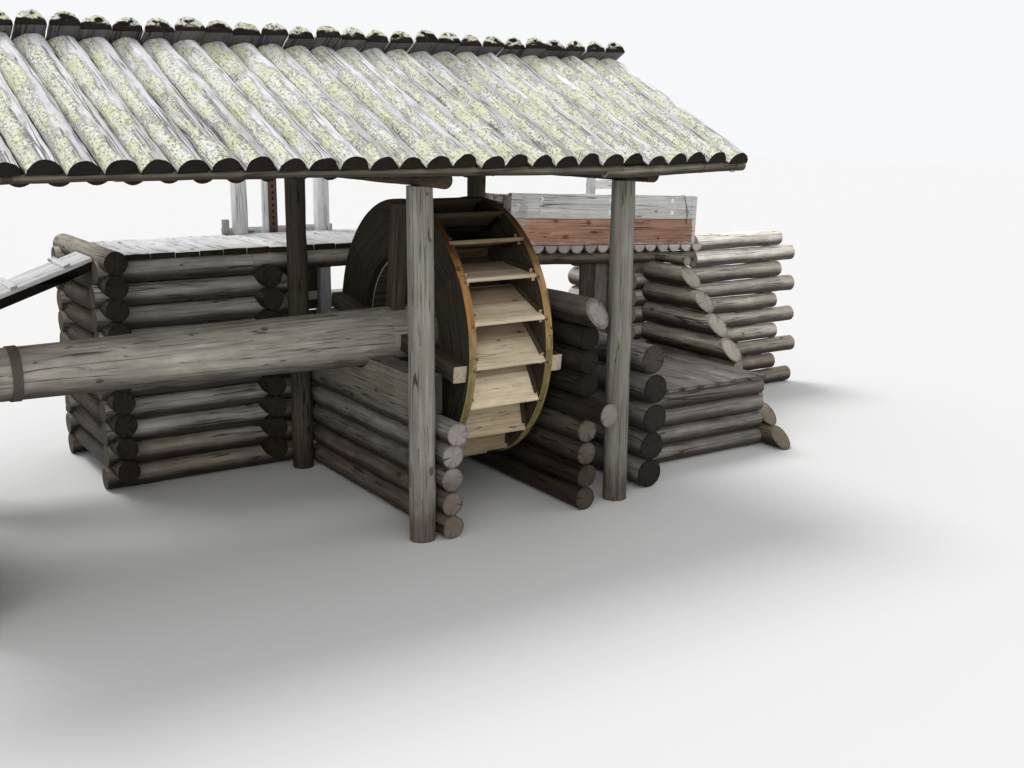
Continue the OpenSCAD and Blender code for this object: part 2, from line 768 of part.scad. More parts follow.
// washers and bolt heads on the upper plank
module trough_bolts() color("#8b8d8f")
    trough_frame()
        for (x = bolt_x, z = bolt_z)
            translate([x, trough_y - gap, plank_h[0] + z]) rotate([90, 0, 0]) {
                cylinder(r = washer[0], h = washer[1]);
                cylinder(r = bolt_head[0], h = bolt_head[1], $fn = 6);
            }

// upright boards between the spillway floor and the trough floor
module bulkhead() color("#8d7b68") {
    x1 = bulk_x + 3 * (bulk_board[0] + 10);
    top = trough_z - floor_r - 6 - (x1 - trough_x0) * sin(trough_tilt);
    for (i = [0 : 2])
        translate([bulk_x + i * (bulk_board[0] + 10), bearer_ys[0] + bearer_r + 2, spill_z + floor_t])
            cube([bulk_board[0], bulk_board[1], top - spill_z - floor_t]);
}

// stack that carries the far bearing, like the pit wall
module far_wall() color("#8f8878")
    for (k = [0 : pit_logs - 1])
        log_y(-far_half[0] + ragged * vary(k, 2), far_half[0], far_x, stack_z(k, pit_r), pit_r);

module bearer_far() color("#8a8270")
    span([far_x - block[0], -far_half[1], stack_z(pit_logs - 1, pit_r) + pit_r + gap],
        [far_x + block[0], far_half[1], axis_z - block[2] / 2]);

module bearing_far() color("#6b6355")
    difference() {
        bearing_block(far_x);
        log_x(far_x - 2 * block[0], far_x + 2 * block[0], 0, axis_z, gudgeon_r + gudgeon_clear);
    }

// arms of one side, crossing in a halved joint inside the shaft
module arm(k, s) {
    rotate([-arm_phase, 0, 0])
        difference() {
            translate([s * arm_x - arm_t / 2, k ? -arm_w / 2 : -arm_reach,
                k ? -arm_reach : -arm_w / 2])
                cube([arm_t, k ? arm_w : 2 * arm_reach, k ? 2 * arm_reach : arm_w]);
            translate([s * arm_x + (k ? -0.2 : -arm_t / 2 - 1), -arm_w / 2 - 0.2, -arm_w / 2 - 0.2])
                cube([arm_t / 2 + 1.2, arm_w + 0.4, arm_w + 0.4]);
        }
}

module shaft() color("#847b6e")
    translate([0, 0, axis_z])
        difference() {
            rotate([0, 90, 0]) rotate_extrude()
                polygon([[0, shaft_x0], [shaft_far_r, shaft_x0], [shaft_r, shaft_seam],
                    [shaft_r, shaft_x1], [0, shaft_x1]]);
            for (s = [-1, 1]) rotate([-arm_phase, 0, 0]) {
                translate([s * arm_x, 0, 0]) cube([arm_t, 3 * shaft_r, arm_w], center = true);
                translate([s * arm_x, 0, 0]) cube([arm_t, arm_w, 3 * shaft_r], center = true);
            }
        }

module gudgeons() color("#5c5a57")
    translate([0, 0, axis_z]) {
        log_x(far_x - block[0], shaft_x0, 0, 0, gudgeon_r);
        log_x(far_x - block[0] - gudgeon_free, far_x - block[0], 0, 0, stub_r);
        log_x(shaft_x1, pier_x + block[0] - 4, 0, 0, gudgeon_r);
    }

// iron band near the far end, shrunk on the taper
module shaft_bands() color("#5b4438")
    translate([shaft_x0, 0, axis_z]) rotate([0, 90, 0])
        for (x = band_at) {
            slope = (shaft_r - shaft_far_r) / (shaft_seam - shaft_x0);
            ra = shaft_far_r + x * slope + 0.3;
            rb = ra + band_w * slope;
            translate([0, 0, x])
                difference() {
                    cylinder(r1 = ra + band_t, r2 = rb + band_t, h = band_w);
                    translate([0, 0, -1]) cylinder(r1 = ra - slope, r2 = rb + slope, h = band_w + 2);
                }
        }

module arms() color("#5e4a36")
    translate([0, 0, axis_z]) for (k = [0, 1], s = [-1, 1]) arm(k, s);

// wheel frame: angle a turns from the front horizontal upward, seen against +X
module at_angle(a) {
    rotate([-a, 0, 0]) children();
}

// one shroud ring of plank segments with butt joints
module shroud(s) {
    x0 = s < 0 ? -half_w : half_w - shroud_t;
    for (i = [0 : segments - 1])
        at_angle(wheel_phase + (i + 0.62) * 360 / segments)
            translate([x0, 0, 0]) rotate([0, 90, 0]) linear_extrude(shroud_t)
                difference() {
                    circle(wheel_r);
                    circle(ring_in);
                    for (m = [0, 1]) mirror([m, 0])
                        rotate(180 / segments) translate([-0.2, -2 * wheel_r])
                            square([3 * wheel_r, 4 * wheel_r]);
                }
}

// both shroud rings, notched at the rim for the ears of the lip boards
module shrouds() color("#6d4d2c")
    translate([0, 0, axis_z])
        difference() {
            for (s = [-1, 1]) shroud(s);
            for (i = [0 : buckets - 1]) float_frame(i)
                span([-half_w + shroud_t - ear_len - 0.3, -80, -float_t / 2 - 0.3],
                    [half_w - shroud_t + ear_len + 0.3, ear_deep + 0.3, float_t / 2 + 0.3]);
        }

// sole boards close the inner edge between the shrouds
module sole_boards() color("#7a5f43")
    translate([0, 0, axis_z])
        for (i = [0 : 2 * buckets - 1])
            at_angle(wheel_phase + (i + 0.5) * 180 / buckets)
                translate([-half_w + shroud_t, -ring_in - sole_drop, -board_half])
                    cube([wheel_w - 2 * shroud_t, sole_t, 2 * board_half]);

// riser boards stand on the sole at the inner edge of each float
module risers() color("#a58a67")
    translate([0, 0, axis_z])
        for (i = [0 : buckets - 1])
            at_angle(wheel_phase + i * 360 / buckets + float_sweep)
                translate([-half_w + shroud_t, -float_in_r + 4, -float_t / 2 + 6])
                    cube([wheel_w - 2 * shroud_t, float_in_r - ring_in - 20, float_t - 6]);

// frame of bucket i: y runs from the lip down its float, z is the upper side
module float_frame(i)
    at_angle(wheel_phase + i * 360 / buckets)
        translate([0, -wheel_r + 6, 0]) rotate([atan2(lip_dz, lip_dy), 0, 0]) children();

// floats of two boards, the lip board has ears let into the shrouds
module floats() color("#c9ab7e")
    translate([0, 0, axis_z])
        for (i = [0 : buckets - 1]) float_frame(i) {
            half = half_w - shroud_t;
            span([-half, 0, -float_t / 2], [half, float_len / 2 - 0.3, float_t / 2]);
            span([-half - ear_len, 0, -float_t / 2], [half + ear_len, ear_deep, float_t / 2]);
            span([-half, float_len / 2 + 0.3, -float_t / 2], [half, float_len - 12, float_t / 2]);
        }

// cleats on the shroud faces hold each float from both sides
module cleats() color("#9c7b50")
    translate([0, 0, axis_z])
        for (i = [0 : buckets - 1], m = [0, 1], s = [0, 1])
            float_frame(i) mirror([m, 0, 0]) mirror([0, 0, s])
                span([half_w - shroud_t - cleat_s, 45 - 35 * s, float_t / 2 + gap],
                    [half_w - shroud_t, s ? 230 : 380, float_t / 2 + cleat_s]);

posts();
tie_beams();
king_posts();
ridge_beam();
plates();
roof_under();
roof_over();
eave_poles();
crib_logs_x();
crib_logs_y();
deck_bearers();
deck_posts();
deck_planks();
ramp_planks();
ramp_battens();
ramp_foot();
gate_posts();
gate_rail();
gate_leaf();
gate_stem();
gate_rack();
pit_wall();
bearer_near();
pier_wall();
bearing_right();
spill_wall();
spill_floor();
spill_sills();
wing_wall();
wing_cap();
crest_logs();
side_frame();
trough_sides();
trough_floor();
trough_bearers();
trough_end();
trough_posts();
trough_bolts();
bulkhead();
far_wall();
bearer_far();
bearing_far();
shaft();
gudgeons();
shaft_bands();
arms();
shrouds();
sole_boards();
risers();
floats();
cleats();
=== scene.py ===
"""Looks of a timber water wheel plant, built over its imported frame, in metres."""
import json
import logging
import math
from collections.abc import Callable
from dataclasses import dataclass
from enum import Enum
from typing import ClassVar

import bmesh
import bpy
import numpy as np
from mathutils import Matrix, Vector

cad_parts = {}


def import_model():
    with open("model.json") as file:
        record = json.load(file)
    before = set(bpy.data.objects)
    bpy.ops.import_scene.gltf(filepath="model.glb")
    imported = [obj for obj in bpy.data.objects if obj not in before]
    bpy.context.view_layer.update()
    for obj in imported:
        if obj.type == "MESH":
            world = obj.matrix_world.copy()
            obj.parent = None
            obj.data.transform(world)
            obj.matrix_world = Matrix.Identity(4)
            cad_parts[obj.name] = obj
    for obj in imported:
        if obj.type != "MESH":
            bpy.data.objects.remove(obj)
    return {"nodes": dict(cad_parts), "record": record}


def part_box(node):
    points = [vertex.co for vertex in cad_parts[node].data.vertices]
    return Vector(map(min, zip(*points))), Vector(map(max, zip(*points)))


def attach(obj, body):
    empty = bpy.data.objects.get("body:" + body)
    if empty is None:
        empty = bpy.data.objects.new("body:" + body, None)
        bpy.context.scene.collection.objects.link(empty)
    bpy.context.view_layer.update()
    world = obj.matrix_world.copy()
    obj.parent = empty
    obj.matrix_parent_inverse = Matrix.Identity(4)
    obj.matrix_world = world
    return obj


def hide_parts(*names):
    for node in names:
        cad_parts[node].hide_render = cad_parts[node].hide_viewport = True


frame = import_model()

LOG = logging.getLogger("water_wheel")
GAP = 0.0004
LATTICE_SIZE = 24
LATTICE = np.random.default_rng(11).uniform(-1.0, 1.0, (LATTICE_SIZE,) * 3)
Socket = bpy.types.NodeSocket
Point = tuple[float, float, float]
Colour = tuple[float, float, float]
Pair = tuple[float, float]
Triple = tuple[float, float, float]
Names = tuple[str, ...]
PLANK_PITH = (0.02, -0.09)


def vary(i: float, k: float) -> float:
    """Repeatable small variation between -1 and 1, the same as in the part's source."""
    v = math.sin(math.radians(i * 97.3 + k * 41.7)) * 43.7
    return 2 * (v - math.floor(v)) - 1


def stack_z(k: float, radius: float) -> float:
    """Height of log k in a stack of like logs."""
    return radius + k * (2 * radius + GAP)


def pile_z(radii: tuple[float, ...], k: int) -> float:
    """Height of log k in a pile of logs with their own radii."""
    return radii[0] if k == 0 else pile_z(radii, k - 1) + radii[k - 1] + radii[k] + GAP


def swell(points: np.ndarray, size: float) -> np.ndarray:
    """Smooth repeatable noise from -1 to 1.

    Args:
        points: Places, three numbers in the last axis.
        size: Distance over which the noise changes, in metres.

    Returns:
        One value for each place.
    """
    q = points / size
    base = np.floor(q).astype(int)
    f = q - base
    f = f * f * (3 - 2 * f)
    total = np.zeros(q.shape[:-1])
    for corner in np.ndindex(2, 2, 2):
        weight = np.prod([f[..., a] if corner[a] else 1 - f[..., a] for a in range(3)], axis=0)
        total += weight * LATTICE[tuple((base[..., a] + corner[a]) % LATTICE_SIZE for a in range(3))]
    return total


def arc(start: float, stop: float, points: int, closed: bool = True) -> np.ndarray:
    """Points of a unit circle between two angles."""
    a = np.linspace(start, stop, points, endpoint=closed)
    return np.stack([np.cos(a), np.sin(a)], 1)


def round_section(sides: int = 22) -> np.ndarray:
    """Unit circle as a closed outline."""
    return arc(0, 2 * math.pi, sides, False)


def half_section(up: bool, sides: int = 13) -> np.ndarray:
    """Unit half circle with its flat at v = 0, rounded side up or down."""
    flat = np.stack([np.linspace(-1, 1, 5)[1:-1], np.zeros(3)], 1)
    outline = np.concatenate([arc(0, math.pi, sides), flat])
    return outline if up else -outline


def board_section(width: float, thick: float, edge: float = 0.003) -> np.ndarray:
    """Outline of a sawn board, width along u and thick along v, with eased edges."""
    w, t, e = width / 2, thick / 2, min(edge, thick / 4)
    across = np.linspace(-w + e, w - e, 5)
    top = [(u, t) for u in across[::-1]]
    bottom = [(u, -t) for u in across]
    return np.array([(w, t - e), *top, (-w, t - e), (-w, 0), (-w, -t + e), *bottom, (w, -t + e), (w, 0)])


@dataclass(frozen=True)
class Timber:
    """One straight timber, from start to end.

    Attributes:
        start: Middle of the section at the first end.
        end: Middle of the section at the other end.
        section: Outline, in units of the radii, or in metres with radii of 1.
        radii: Scale of the section at both ends.
        up: Direction of the section's v axis.
        stations: Pieces along the length.
        rough: Height of the surface's unevenness, in metres.
        lump: Size of that unevenness, in metres.
        bow: Sideways bend in the middle, in metres.
        cut_start: Lean of the first end face, metres along per metre of u and v.
        cut_end: Lean of the other end face.
        pith: Offset of the growth rings' middle along u and v.
        tone: Light or dark, from 0 to 1; below 0 takes a value of its own.
        ragged: Unevenness of the end faces, in metres.
        shade: How dark sooty grime, damp and painted shade make the sides, 1 for not at all, above 1 lighter.
        end_shade: The same for the end faces.
        fade: Lightness added at the first end, none at the other; on the trough planks it is painted light.
    """

    start: Point
    end: Point
    section: np.ndarray
    radii: Pair = (1.0, 1.0)
    up: Point = (0, 0, 1)
    stations: int = 12
    rough: float = 0.003
    lump: float = 0.12
    bow: float = 0.0
    cut_start: Pair = (0, 0)
    cut_end: Pair = (0, 0)
    pith: Pair = (0, 0)
    tone: float = -1.0
    ragged: float = 0.001
    shade: float = 1.0
    end_shade: float = 1.0
    fade: float = 0.0


class TimberMesh:
    """Collects timbers into one mesh that carries their grain."""

    grain_stretch: ClassVar[float] = 0.45
    end_rings: ClassVar[tuple[float, ...]] = (1.0, 0.97, 0.7, 0.35)
    end_lump: ClassVar[float] = 0.03

    def __init__(self, seed: int) -> None:
        """Starts empty, with its own row of chance values."""
        self.chance = np.random.default_rng(seed)
        self.places: list[np.ndarray] = []
        self.marks: dict[str, list[np.ndarray]] = {key: [] for key in ("grain", "tone", "cap", "shade")}
        self.faces: list[tuple[int, ...]] = []
        self.count = 0

    def put(self, places: np.ndarray, grain: np.ndarray, tone: float, cap: float, shade: object = 1.0) -> int:
        """Adds points and returns the number of the first one."""
        first = self.count
        self.count += len(places)
        self.places.append(places)
        self.marks["grain"].append(grain)
        for key, value in (("tone", tone), ("cap", cap), ("shade", shade)):
            self.marks[key].append(np.broadcast_to(value, len(places)))
        return first

    def strip(self, p: int, q: int, n: int, flip: bool = False) -> None:
        """Joins two rings of n points, the first ones p and q, with faces."""
        for i in range(n):
            k = (i + 1) % n
            quad = (p + i, p + k, q + k, q + i)
            self.faces.append(quad[::-1] if flip else quad)

    def add(self, t: Timber) -> None:
        """Adds one timber."""
        a, b = np.array(t.start, float), np.array(t.end, float)
        length = float(np.linalg.norm(b - a))
        along = (b - a) / length
        up = np.array(t.up, float) - along * np.dot(t.up, along)
        up /= np.linalg.norm(up)
        side = np.cross(up, along)
        tone = self.chance.random() if t.tone < 0 else t.tone
        shift = self.chance.random(3) * 9 + 1
        n, m = len(t.section), t.stations + 1
        share = np.linspace(0, 1, m)[:, None]
        scale = t.radii[0] + (t.radii[1] - t.radii[0]) * share
        u, v = t.section[None, :, 0] * scale, t.section[None, :, 1] * scale
        lo = t.cut_start[0] * u + t.cut_start[1] * v
        hi = length + t.cut_end[0] * u + t.cut_end[1] * v
        s = lo + (hi - lo) * share
        place = np.stack([s * self.grain_stretch, u, v], -1)
        size = np.hypot(u, v) + 1e-6
        push = t.rough * (swell(place + shift, t.lump) + 0.5 * swell(place * 2.3 + shift, t.lump))
        turn = self.chance.random() * 2 * math.pi
        bend = t.bow * (np.sin(math.pi * share) + 0.4 * np.sin(2 * math.pi * share))
        u2, v2 = u + push * u / size + bend * math.cos(turn), v + push * v / size + bend * math.sin(turn)
        grain = np.stack([s + shift[0], u - t.pith[0], v - t.pith[1]], -1)

        def world(ss: np.ndarray, uu: np.ndarray, vv: np.ndarray) -> np.ndarray:
            """Turns own coordinates into places."""
            return a + ss[..., None] * along + uu[..., None] * side + vv[..., None] * up

        shade = np.repeat(t.shade + t.fade * (1 - share) ** 1.5, n)
        first = self.put(world(s, u2, v2).reshape(-1, 3), grain.reshape(-1, 3), tone, 0.0, shade)
        for j in range(m - 1):
            self.strip(first + j * n, first + (j + 1) * n, n)
        for row, sign in ((0, -1), (m - 1, 1)):
            self.end_face(t, world, np.stack([s[row], u2[row], v2[row]]), grain[row], tone, sign)

    def wire(self, points: list[Point], radius: float) -> None:
        """Adds a wire of short straight lengths through the points."""
        for a, b in zip(points, points[1:]):
            up = tuple(np.roll(np.subtract(b, a), 1))
            self.add(Timber(a, b, round_section(6), (radius, radius), up, 1, 0.0, ragged=0.0))

    def end_face(self, t: Timber, world: Callable, edge: np.ndarray, grain: np.ndarray, tone: float, sign: int) -> None:
        """Closes one end with rings of faces.

        Args:
            t: The timber.
            world: Function that turns own coordinates into places.
            edge: Own coordinates of the outline: along, across and upward.
            grain: Grain coordinates of the outline.
            tone: The timber's tone.
            sign: 1 for the far end, -1 for the first.
        """
        mid, centre = edge.mean(1, keepdims=True), grain.mean(0)
        rows = []
        for part in self.end_rings:
            s, u, v = mid + (edge - mid) * part
            if part < 1:
                s = s + t.ragged * sign * (0.6 + swell(np.stack([u, v, s], -1) + tone * 7, self.end_lump))
            rows.append(self.put(world(s, u, v), centre + (grain - centre) * part, tone, 1.0, t.end_shade))
        last = self.put(world(*mid), centre[None], tone, 1.0, t.end_shade)
        n = len(grain)
        for p, q in zip(rows, rows[1:]):
            self.strip(p, q, n, sign < 0)
        for i in range(n):
            tri = (rows[-1] + i, rows[-1] + (i + 1) % n, last)
            self.faces.append(tri if sign > 0 else tri[::-1])

    def finish(self, name: str, slot: str, *nodes: str, body: str = "plant") -> bpy.types.Object:
        """Makes the object, dresses it and lets it ride.

        Args:
            name: Name of the piece.
            slot: Material slot that it takes its finish from.
            nodes: Frame nodes that it stands for.
            body: Body that it rides on.

        Returns:
            The new object.
        """
        mesh = bpy.data.meshes.new(name)
        mesh.from_pydata(np.concatenate(self.places).tolist(), [], self.faces)
        for key, rows in self.marks.items():
            kind, value = ("FLOAT_VECTOR", "vector") if key == "grain" else ("FLOAT", "value")
            layer = mesh.attributes.new(key, kind, "POINT")
            layer.data.foreach_set(value, np.concatenate(rows).astype(np.float32).ravel())
        mesh.shade_smooth()
        mesh.update()
        piece = bpy.data.objects.new(name, mesh)
        bpy.context.scene.collection.objects.link(piece)
        mesh.materials.append(Finishes.get(slot))
        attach(piece, body)
        if nodes:
            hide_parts(*nodes)
        LOG.info("%s: %d faces", name, len(mesh.polygons))
        return piece


def log_between(a: Point, b: Point, length: float, r: float, **more: object) -> Timber:
    """Round log that thins a little, with a station every 9 cm."""
    return Timber(a, b, round_section(), (r * 0.985, r * 0.975), stations=max(4, int(length / 0.09)), **more)


def log_x(a: float, b: float, y: float, z: float, r: float, **more: object) -> Timber:
    """Round log along X from a to b."""
    return log_between((a, y, z), (b, y, z), b - a, r, **more)


def log_y(a: float, b: float, x: float, z: float, r: float, **more: object) -> Timber:
    """Round log along Y from a to b."""
    return log_between((x, a, z), (x, b, z), b - a, r, **more)


def upright(x: float, y: float, z0: float, z1: float, radii: Pair, stations: int, **more: object) -> Timber:
    """Round upright from z0 to z1."""
    section = more.pop("section", round_section(18))
    return Timber((x, y, z0), (x, y, z1), section, radii, (0, 1, 0), stations, **more)


def plank(
    a: Point, b: Point, width: float, thick: float, up: Point, stations: int, edge: float = 0.003, **more: object
) -> Timber:
    """Sawn board from a to b; up is the way of its thickness."""
    return Timber(a, b, board_section(width, thick, edge), up=up, stations=stations, **more)


def board(lo: Point, hi: Point, along: int, **more: object) -> Timber:
    """Sawn board in the box from lo to hi.

    Args:
        lo: Lowest corner.
        hi: Highest corner.
        along: Axis of the grain, 0 to 2.
        more: Other fields of the timber.

    Returns:
        The timber.
    """
    low, size = np.array(lo, float), np.subtract(hi, lo).astype(float)
    a = low + size / 2
    b = a.copy()
    a[along], b[along] = low[along], hi[along]
    thin, wide = sorted((i for i in range(3) if i != along), key=lambda i: (size[i], -i))
    settings = {"rough": 0.0015, "lump": 0.16, "pith": PLANK_PITH, **more}
    up, stations = tuple(np.eye(3)[thin]), max(4, int(size[along] / 0.08))
    return plank(tuple(a), tuple(b), size[wide] - 0.002, size[thin] - 0.001, up, stations, **settings)


class Graph:
    """Short hand for building one node tree."""

    def __init__(self, tree: bpy.types.NodeTree) -> None:
        """Keeps the tree."""
        self.tree = tree

    def fill(self, node: bpy.types.Node, values: dict[str | int, object]) -> None:
        """Gives a node's inputs their values, or links them from sockets."""
        for key, value in values.items():
            if isinstance(value, Socket):
                self.tree.links.new(value, node.inputs[key])
            else:
                node.inputs[key].default_value = value

    def node(self, kind: str, values: dict[str | int, object] | None = None, **settings: object) -> bpy.types.Node:
        """Adds a node.

        Args:
            kind: Node type without its ShaderNode prefix.
            values: Socket name or number to a value or a socket to link from.
            settings: Properties of the node.

        Returns:
            The node.
        """
        made = self.tree.nodes.new("ShaderNode" + kind)
        for key, value in settings.items():
            setattr(made, key, value)
        self.fill(made, values or {})
        return made

    def math(self, op: str, a: object, b: object = 0.0, c: object = 0.0, clamp: bool = False) -> Socket:
        """Math node with up to three values."""
        return self.node("Math", {0: a, 1: b, 2: c}, operation=op, use_clamp=clamp).outputs[0]

    def plus(self, a: object, b: object) -> Socket:
        """Value of a + b."""
        return self.math("ADD", a, b)

    def less(self, a: object, b: object) -> Socket:
        """Value of a - b."""
        return self.math("SUBTRACT", a, b)

    def times(self, a: object, b: object, c: object = 0.0) -> Socket:
        """Value of a * b + c."""
        return self.math("MULTIPLY_ADD", a, b, c)

    def over(self, a: object, b: object) -> Socket:
        """Value of a / b."""
        return self.math("DIVIDE", a, b)

    def apart(self, a: object, b: float) -> Socket:
        """How far a is from b."""
        return self.math("ABSOLUTE", self.less(a, b))

    def vector(self, op: str, a: object, b: object = (0, 0, 0)) -> Socket:
        """Vector math node."""
        return self.node("VectorMath", {0: a, 1: b}, operation=op).outputs[0]

    def step(self, value: object, low: float, high: float) -> Socket:
        """Smooth step from 0 at low to 1 at high."""
        values = {"Value": value, "From Min": low, "From Max": high}
        return self.node("MapRange", values, interpolation_type="SMOOTHSTEP").outputs[0]

    def blend(self, share: object, a: object, b: object, mode: str = "MIX") -> Socket:
        """Colour mix of a and b."""
        a, b = ((*c, 1.0) if isinstance(c, tuple) else c for c in (a, b))
        made = self.node("Mix", {0: share, 6: a, 7: b}, data_type="RGBA", blend_type=mode, clamp_factor=True)
        return made.outputs[2]

    def noise(self, place: Socket, scale: float, detail: float, rough: float = 0.55, shift: object = None) -> Socket:
        """Noise value; shift picks another pattern."""
        values = {"Vector": place, "Scale": scale, "Detail": detail, "Roughness": rough}
        if shift is None:
            return self.node("TexNoise", values).outputs["Fac"]
        return self.node("TexNoise", {**values, "W": shift}, noise_dimensions="4D").outputs["Fac"]

    def drawn(self, stretch: float, place: Socket, *noise: object) -> Socket:
        """Noise drawn out along the first axis."""
        return self.noise(self.vector("MULTIPLY", place, (stretch, 1, 1)), *noise)

    def cells(self, place: Socket, scale: float) -> Socket:
        """Distance to the nearest of scattered points."""
        return self.node("TexVoronoi", {"Vector": place, "Scale": scale}).outputs["Distance"]

    def split(self, place: Socket) -> list[Socket]:
        """The three parts of a vector."""
        return list(self.node("SeparateXYZ", {0: place}).outputs)

    def join(self, x: object, y: object, z: object) -> Socket:
        """A vector from three values."""
        return self.node("CombineXYZ", {0: x, 1: y, 2: z}).outputs[0]


class Effect(Graph):
    """A shader node group that several finishes share."""

    built: ClassVar[dict[str, bpy.types.NodeTree]] = {}
    vectors: ClassVar[Names] = ("Grain", "Place")

    def __init__(self, name: str, ins: Names, outs: Names) -> None:
        """Starts a group with named inputs, and with outputs that are all values."""
        super().__init__(bpy.data.node_groups.new(name, "ShaderNodeTree"))
        for key in ins:
            kind = "NodeSocketVector" if key in self.vectors else "NodeSocketFloat"
            self.tree.interface.new_socket(key, in_out="INPUT", socket_type=kind)
        for key in outs:
            self.tree.interface.new_socket(key, in_out="OUTPUT", socket_type="NodeSocketFloat")
        inside = self.tree.nodes.new("NodeGroupInput")
        self.ins = [inside.outputs[key] for key in ins]
        self.result = self.tree.nodes.new("NodeGroupOutput")

    def close(self, **values: Socket) -> bpy.types.NodeTree:
        """Links the results to the group's outputs."""
        self.fill(self.result, values)
        return self.tree

    @classmethod
    def get(cls, name: str) -> bpy.types.NodeTree:
        """The named effect's group, built when first asked for."""
        if name not in cls.built:
            cls.built[name] = getattr(cls, name)()
        return cls.built[name]

    @classmethod
    def fibre(cls) -> bpy.types.NodeTree:
        """Wood fibre along the grain: fine lines, broad streaks and blotches."""
        g = cls("fibre", ("Grain", "Tone"), ("Fine", "Broad", "Blotch"))
        grain, tone = g.ins
        shift = g.times(tone, 31.0)
        fine = g.drawn(0.025, grain, 170, 3, 0.6, shift)
        broad = g.drawn(0.06, grain, 34, 3, 0.6, shift)
        blotch = g.drawn(0.45, grain, 7.5, 4, 0.6, shift)
        return g.close(Fine=g.step(fine, 0.3, 0.7), Broad=g.step(broad, 0.32, 0.68), Blotch=g.step(blotch, 0.3, 0.7))

    @classmethod
    def checks(cls) -> bpy.types.NodeTree:
        """Drying checks: long dark splits along the grain, a few wide ones and many hair-fine ones."""
        g = cls("checks", ("Grain", "Tone", "Amount"), ("Mask", "Depth"))
        grain, tone, amount = g.ins
        shift = g.times(tone, 17.0, 3.0)
        ratios = []
        for stretch, scale, width in ((0.035, 12, 0.016), (0.022, 30, 0.03)):
            line = g.drawn(stretch, grain, scale, 2, 0.4, shift)
            where = g.drawn(0.3, grain, scale / 2.4, 2, 0.5, g.plus(shift, scale))
            wide = g.times(g.step(where, 0.42, 0.66), g.times(amount, width), 0.0004)
            ratios.append(g.over(g.apart(line, 0.5), wide))
        ratio = g.math("MINIMUM", *ratios)
        return g.close(Mask=g.step(ratio, 1.0, 0.35), Depth=g.step(ratio, 1.6, 0.2))

    @classmethod
    def knots(cls) -> bpy.types.NodeTree:
        """Knots: dark spots with a lighter ring, drawn out along the grain."""
        g = cls("knots", ("Grain", "Tone", "Size"), ("Mask", "Ring"))
        grain, tone, size = g.ins
        place = g.vector("ADD", g.vector("MULTIPLY", grain, (0.62, 1, 1)), g.join(g.times(tone, 11.0), 0.0, 0.0))
        wobble = g.times(g.less(g.noise(grain, 40, 2), 0.5), 0.07)
        ratio = g.over(g.plus(g.cells(place, 5.2), wobble), size)
        return g.close(Mask=g.step(ratio, 1.0, 0.55), Ring=g.step(g.apart(ratio, 1.25), 0.35, 0.0))

    @classmethod
    def rings(cls) -> bpy.types.NodeTree:
        """End grain: growth rings, radial checks and a dark rim."""
        g = cls("rings", ("Grain", "Tone", "Radius"), ("Ring", "Crack", "Rim"))
        grain, tone, radius = g.ins
        flat = g.join(0.0, *g.split(grain)[1:])
        reach = g.node("VectorMath", {0: flat}, operation="LENGTH").outputs["Value"]
        wide = g.times(g.less(g.noise(flat, 9, 2, 0.5, tone), 0.5), 0.03, reach)
        spoke = g.noise(g.vector("NORMALIZE", flat), 2.6, 3, 0.6, g.times(tone, 23.0))
        crack = g.step(g.over(g.apart(spoke, 0.5), g.times(reach, 0.09, 0.001)), 1.0, 0.3)
        ring = g.times(g.math("SINE", g.times(wide, 900.0)), 0.5, 0.5)
        return g.close(Ring=ring, Crack=crack, Rim=g.step(g.over(wide, radius), 0.72, 1.02))

    @classmethod
    def lichen(cls) -> bpy.types.NodeTree:
        """Crusts of lichen: the zone they grow in, their clumps, hue and height."""
        g = cls("lichen", ("Place", "Grain", "Facing", "Cover"), ("Zone", "Mask", "Hue", "Height"))
        place, grain, facing, cover = g.ins
        zone = g.step(g.plus(g.drawn(0.5, grain, 6.0, 5, 0.72), g.plus(facing, cover)), 0.84, 1.06)
        clump = g.noise(place, 60, 4, 0.8)
        level = g.times(zone, 0.6, g.times(g.cells(place, 95.0), -0.4, g.times(clump, 2.0)))
        mask = g.step(level, 1.12, 1.3)
        hue = g.step(g.times(clump, 0.8, g.noise(place, 7.0, 3, 0.6)), 0.74, 1.06)
        return g.close(Zone=zone, Mask=mask, Hue=hue, Height=g.times(mask, g.times(clump, 0.9, 0.3)))

    @classmethod
    def bleach(cls) -> bpy.types.NodeTree:
        """Pale patches: a clean band at the far end, ragged ones at the near end and the foot."""
        g = cls("bleach", ("Place", "Start", "End", "Foot", "Fall"), ("Mask",))
        place, start, end, foot, fall = g.ins
        x, _, z = g.split(place)
        along = g.less(x, start)
        high = g.times(along, fall, g.less(z, foot))
        ragged = g.drawn(0.7, place, 10, 4, 0.7)
        patch = g.times(g.step(high, 0.06, 0.0), 0.3, g.times(g.step(along, 0.34, 0.12), 0.28, ragged))
        band = g.step(g.times(ragged, 0.03, g.less(end, x)), 0.062, 0.045)
        mask = g.math("MAXIMUM", band, g.step(patch, 0.70, 0.84))
        return g.close(Mask=g.times(mask, g.step(along, -0.02, -0.01)))

    @classmethod
    def damp(cls) -> bpy.types.NodeTree:
        """Damp foot: darker timber below a ragged level."""
        g = cls("damp", ("Place", "Level", "Fade"), ("Mask",))
        place, level, fade = g.ins
        ragged = g.times(g.less(g.noise(place, 4.0, 4, 0.6), 0.5), 0.35, g.split(place)[2])
        return g.close(Mask=g.step(g.over(g.less(level, ragged), fade), -0.5, 0.5))

    @classmethod
    def rust(cls) -> bpy.types.NodeTree:
        """Rust: where it is, its light and dark parts and its pits."""
        g = cls("rust", ("Place", "Amount"), ("Mask", "Hue", "Height"))
        place, amount = g.ins
        pits = g.noise(place, 120, 3, 0.6)
        mask = g.step(g.plus(g.times(pits, 0.3, g.noise(place, 9, 5, 0.65)), amount), 0.75, 1.0)
        return g.close(Mask=mask, Hue=g.step(pits, 0.35, 0.65), Height=pits)


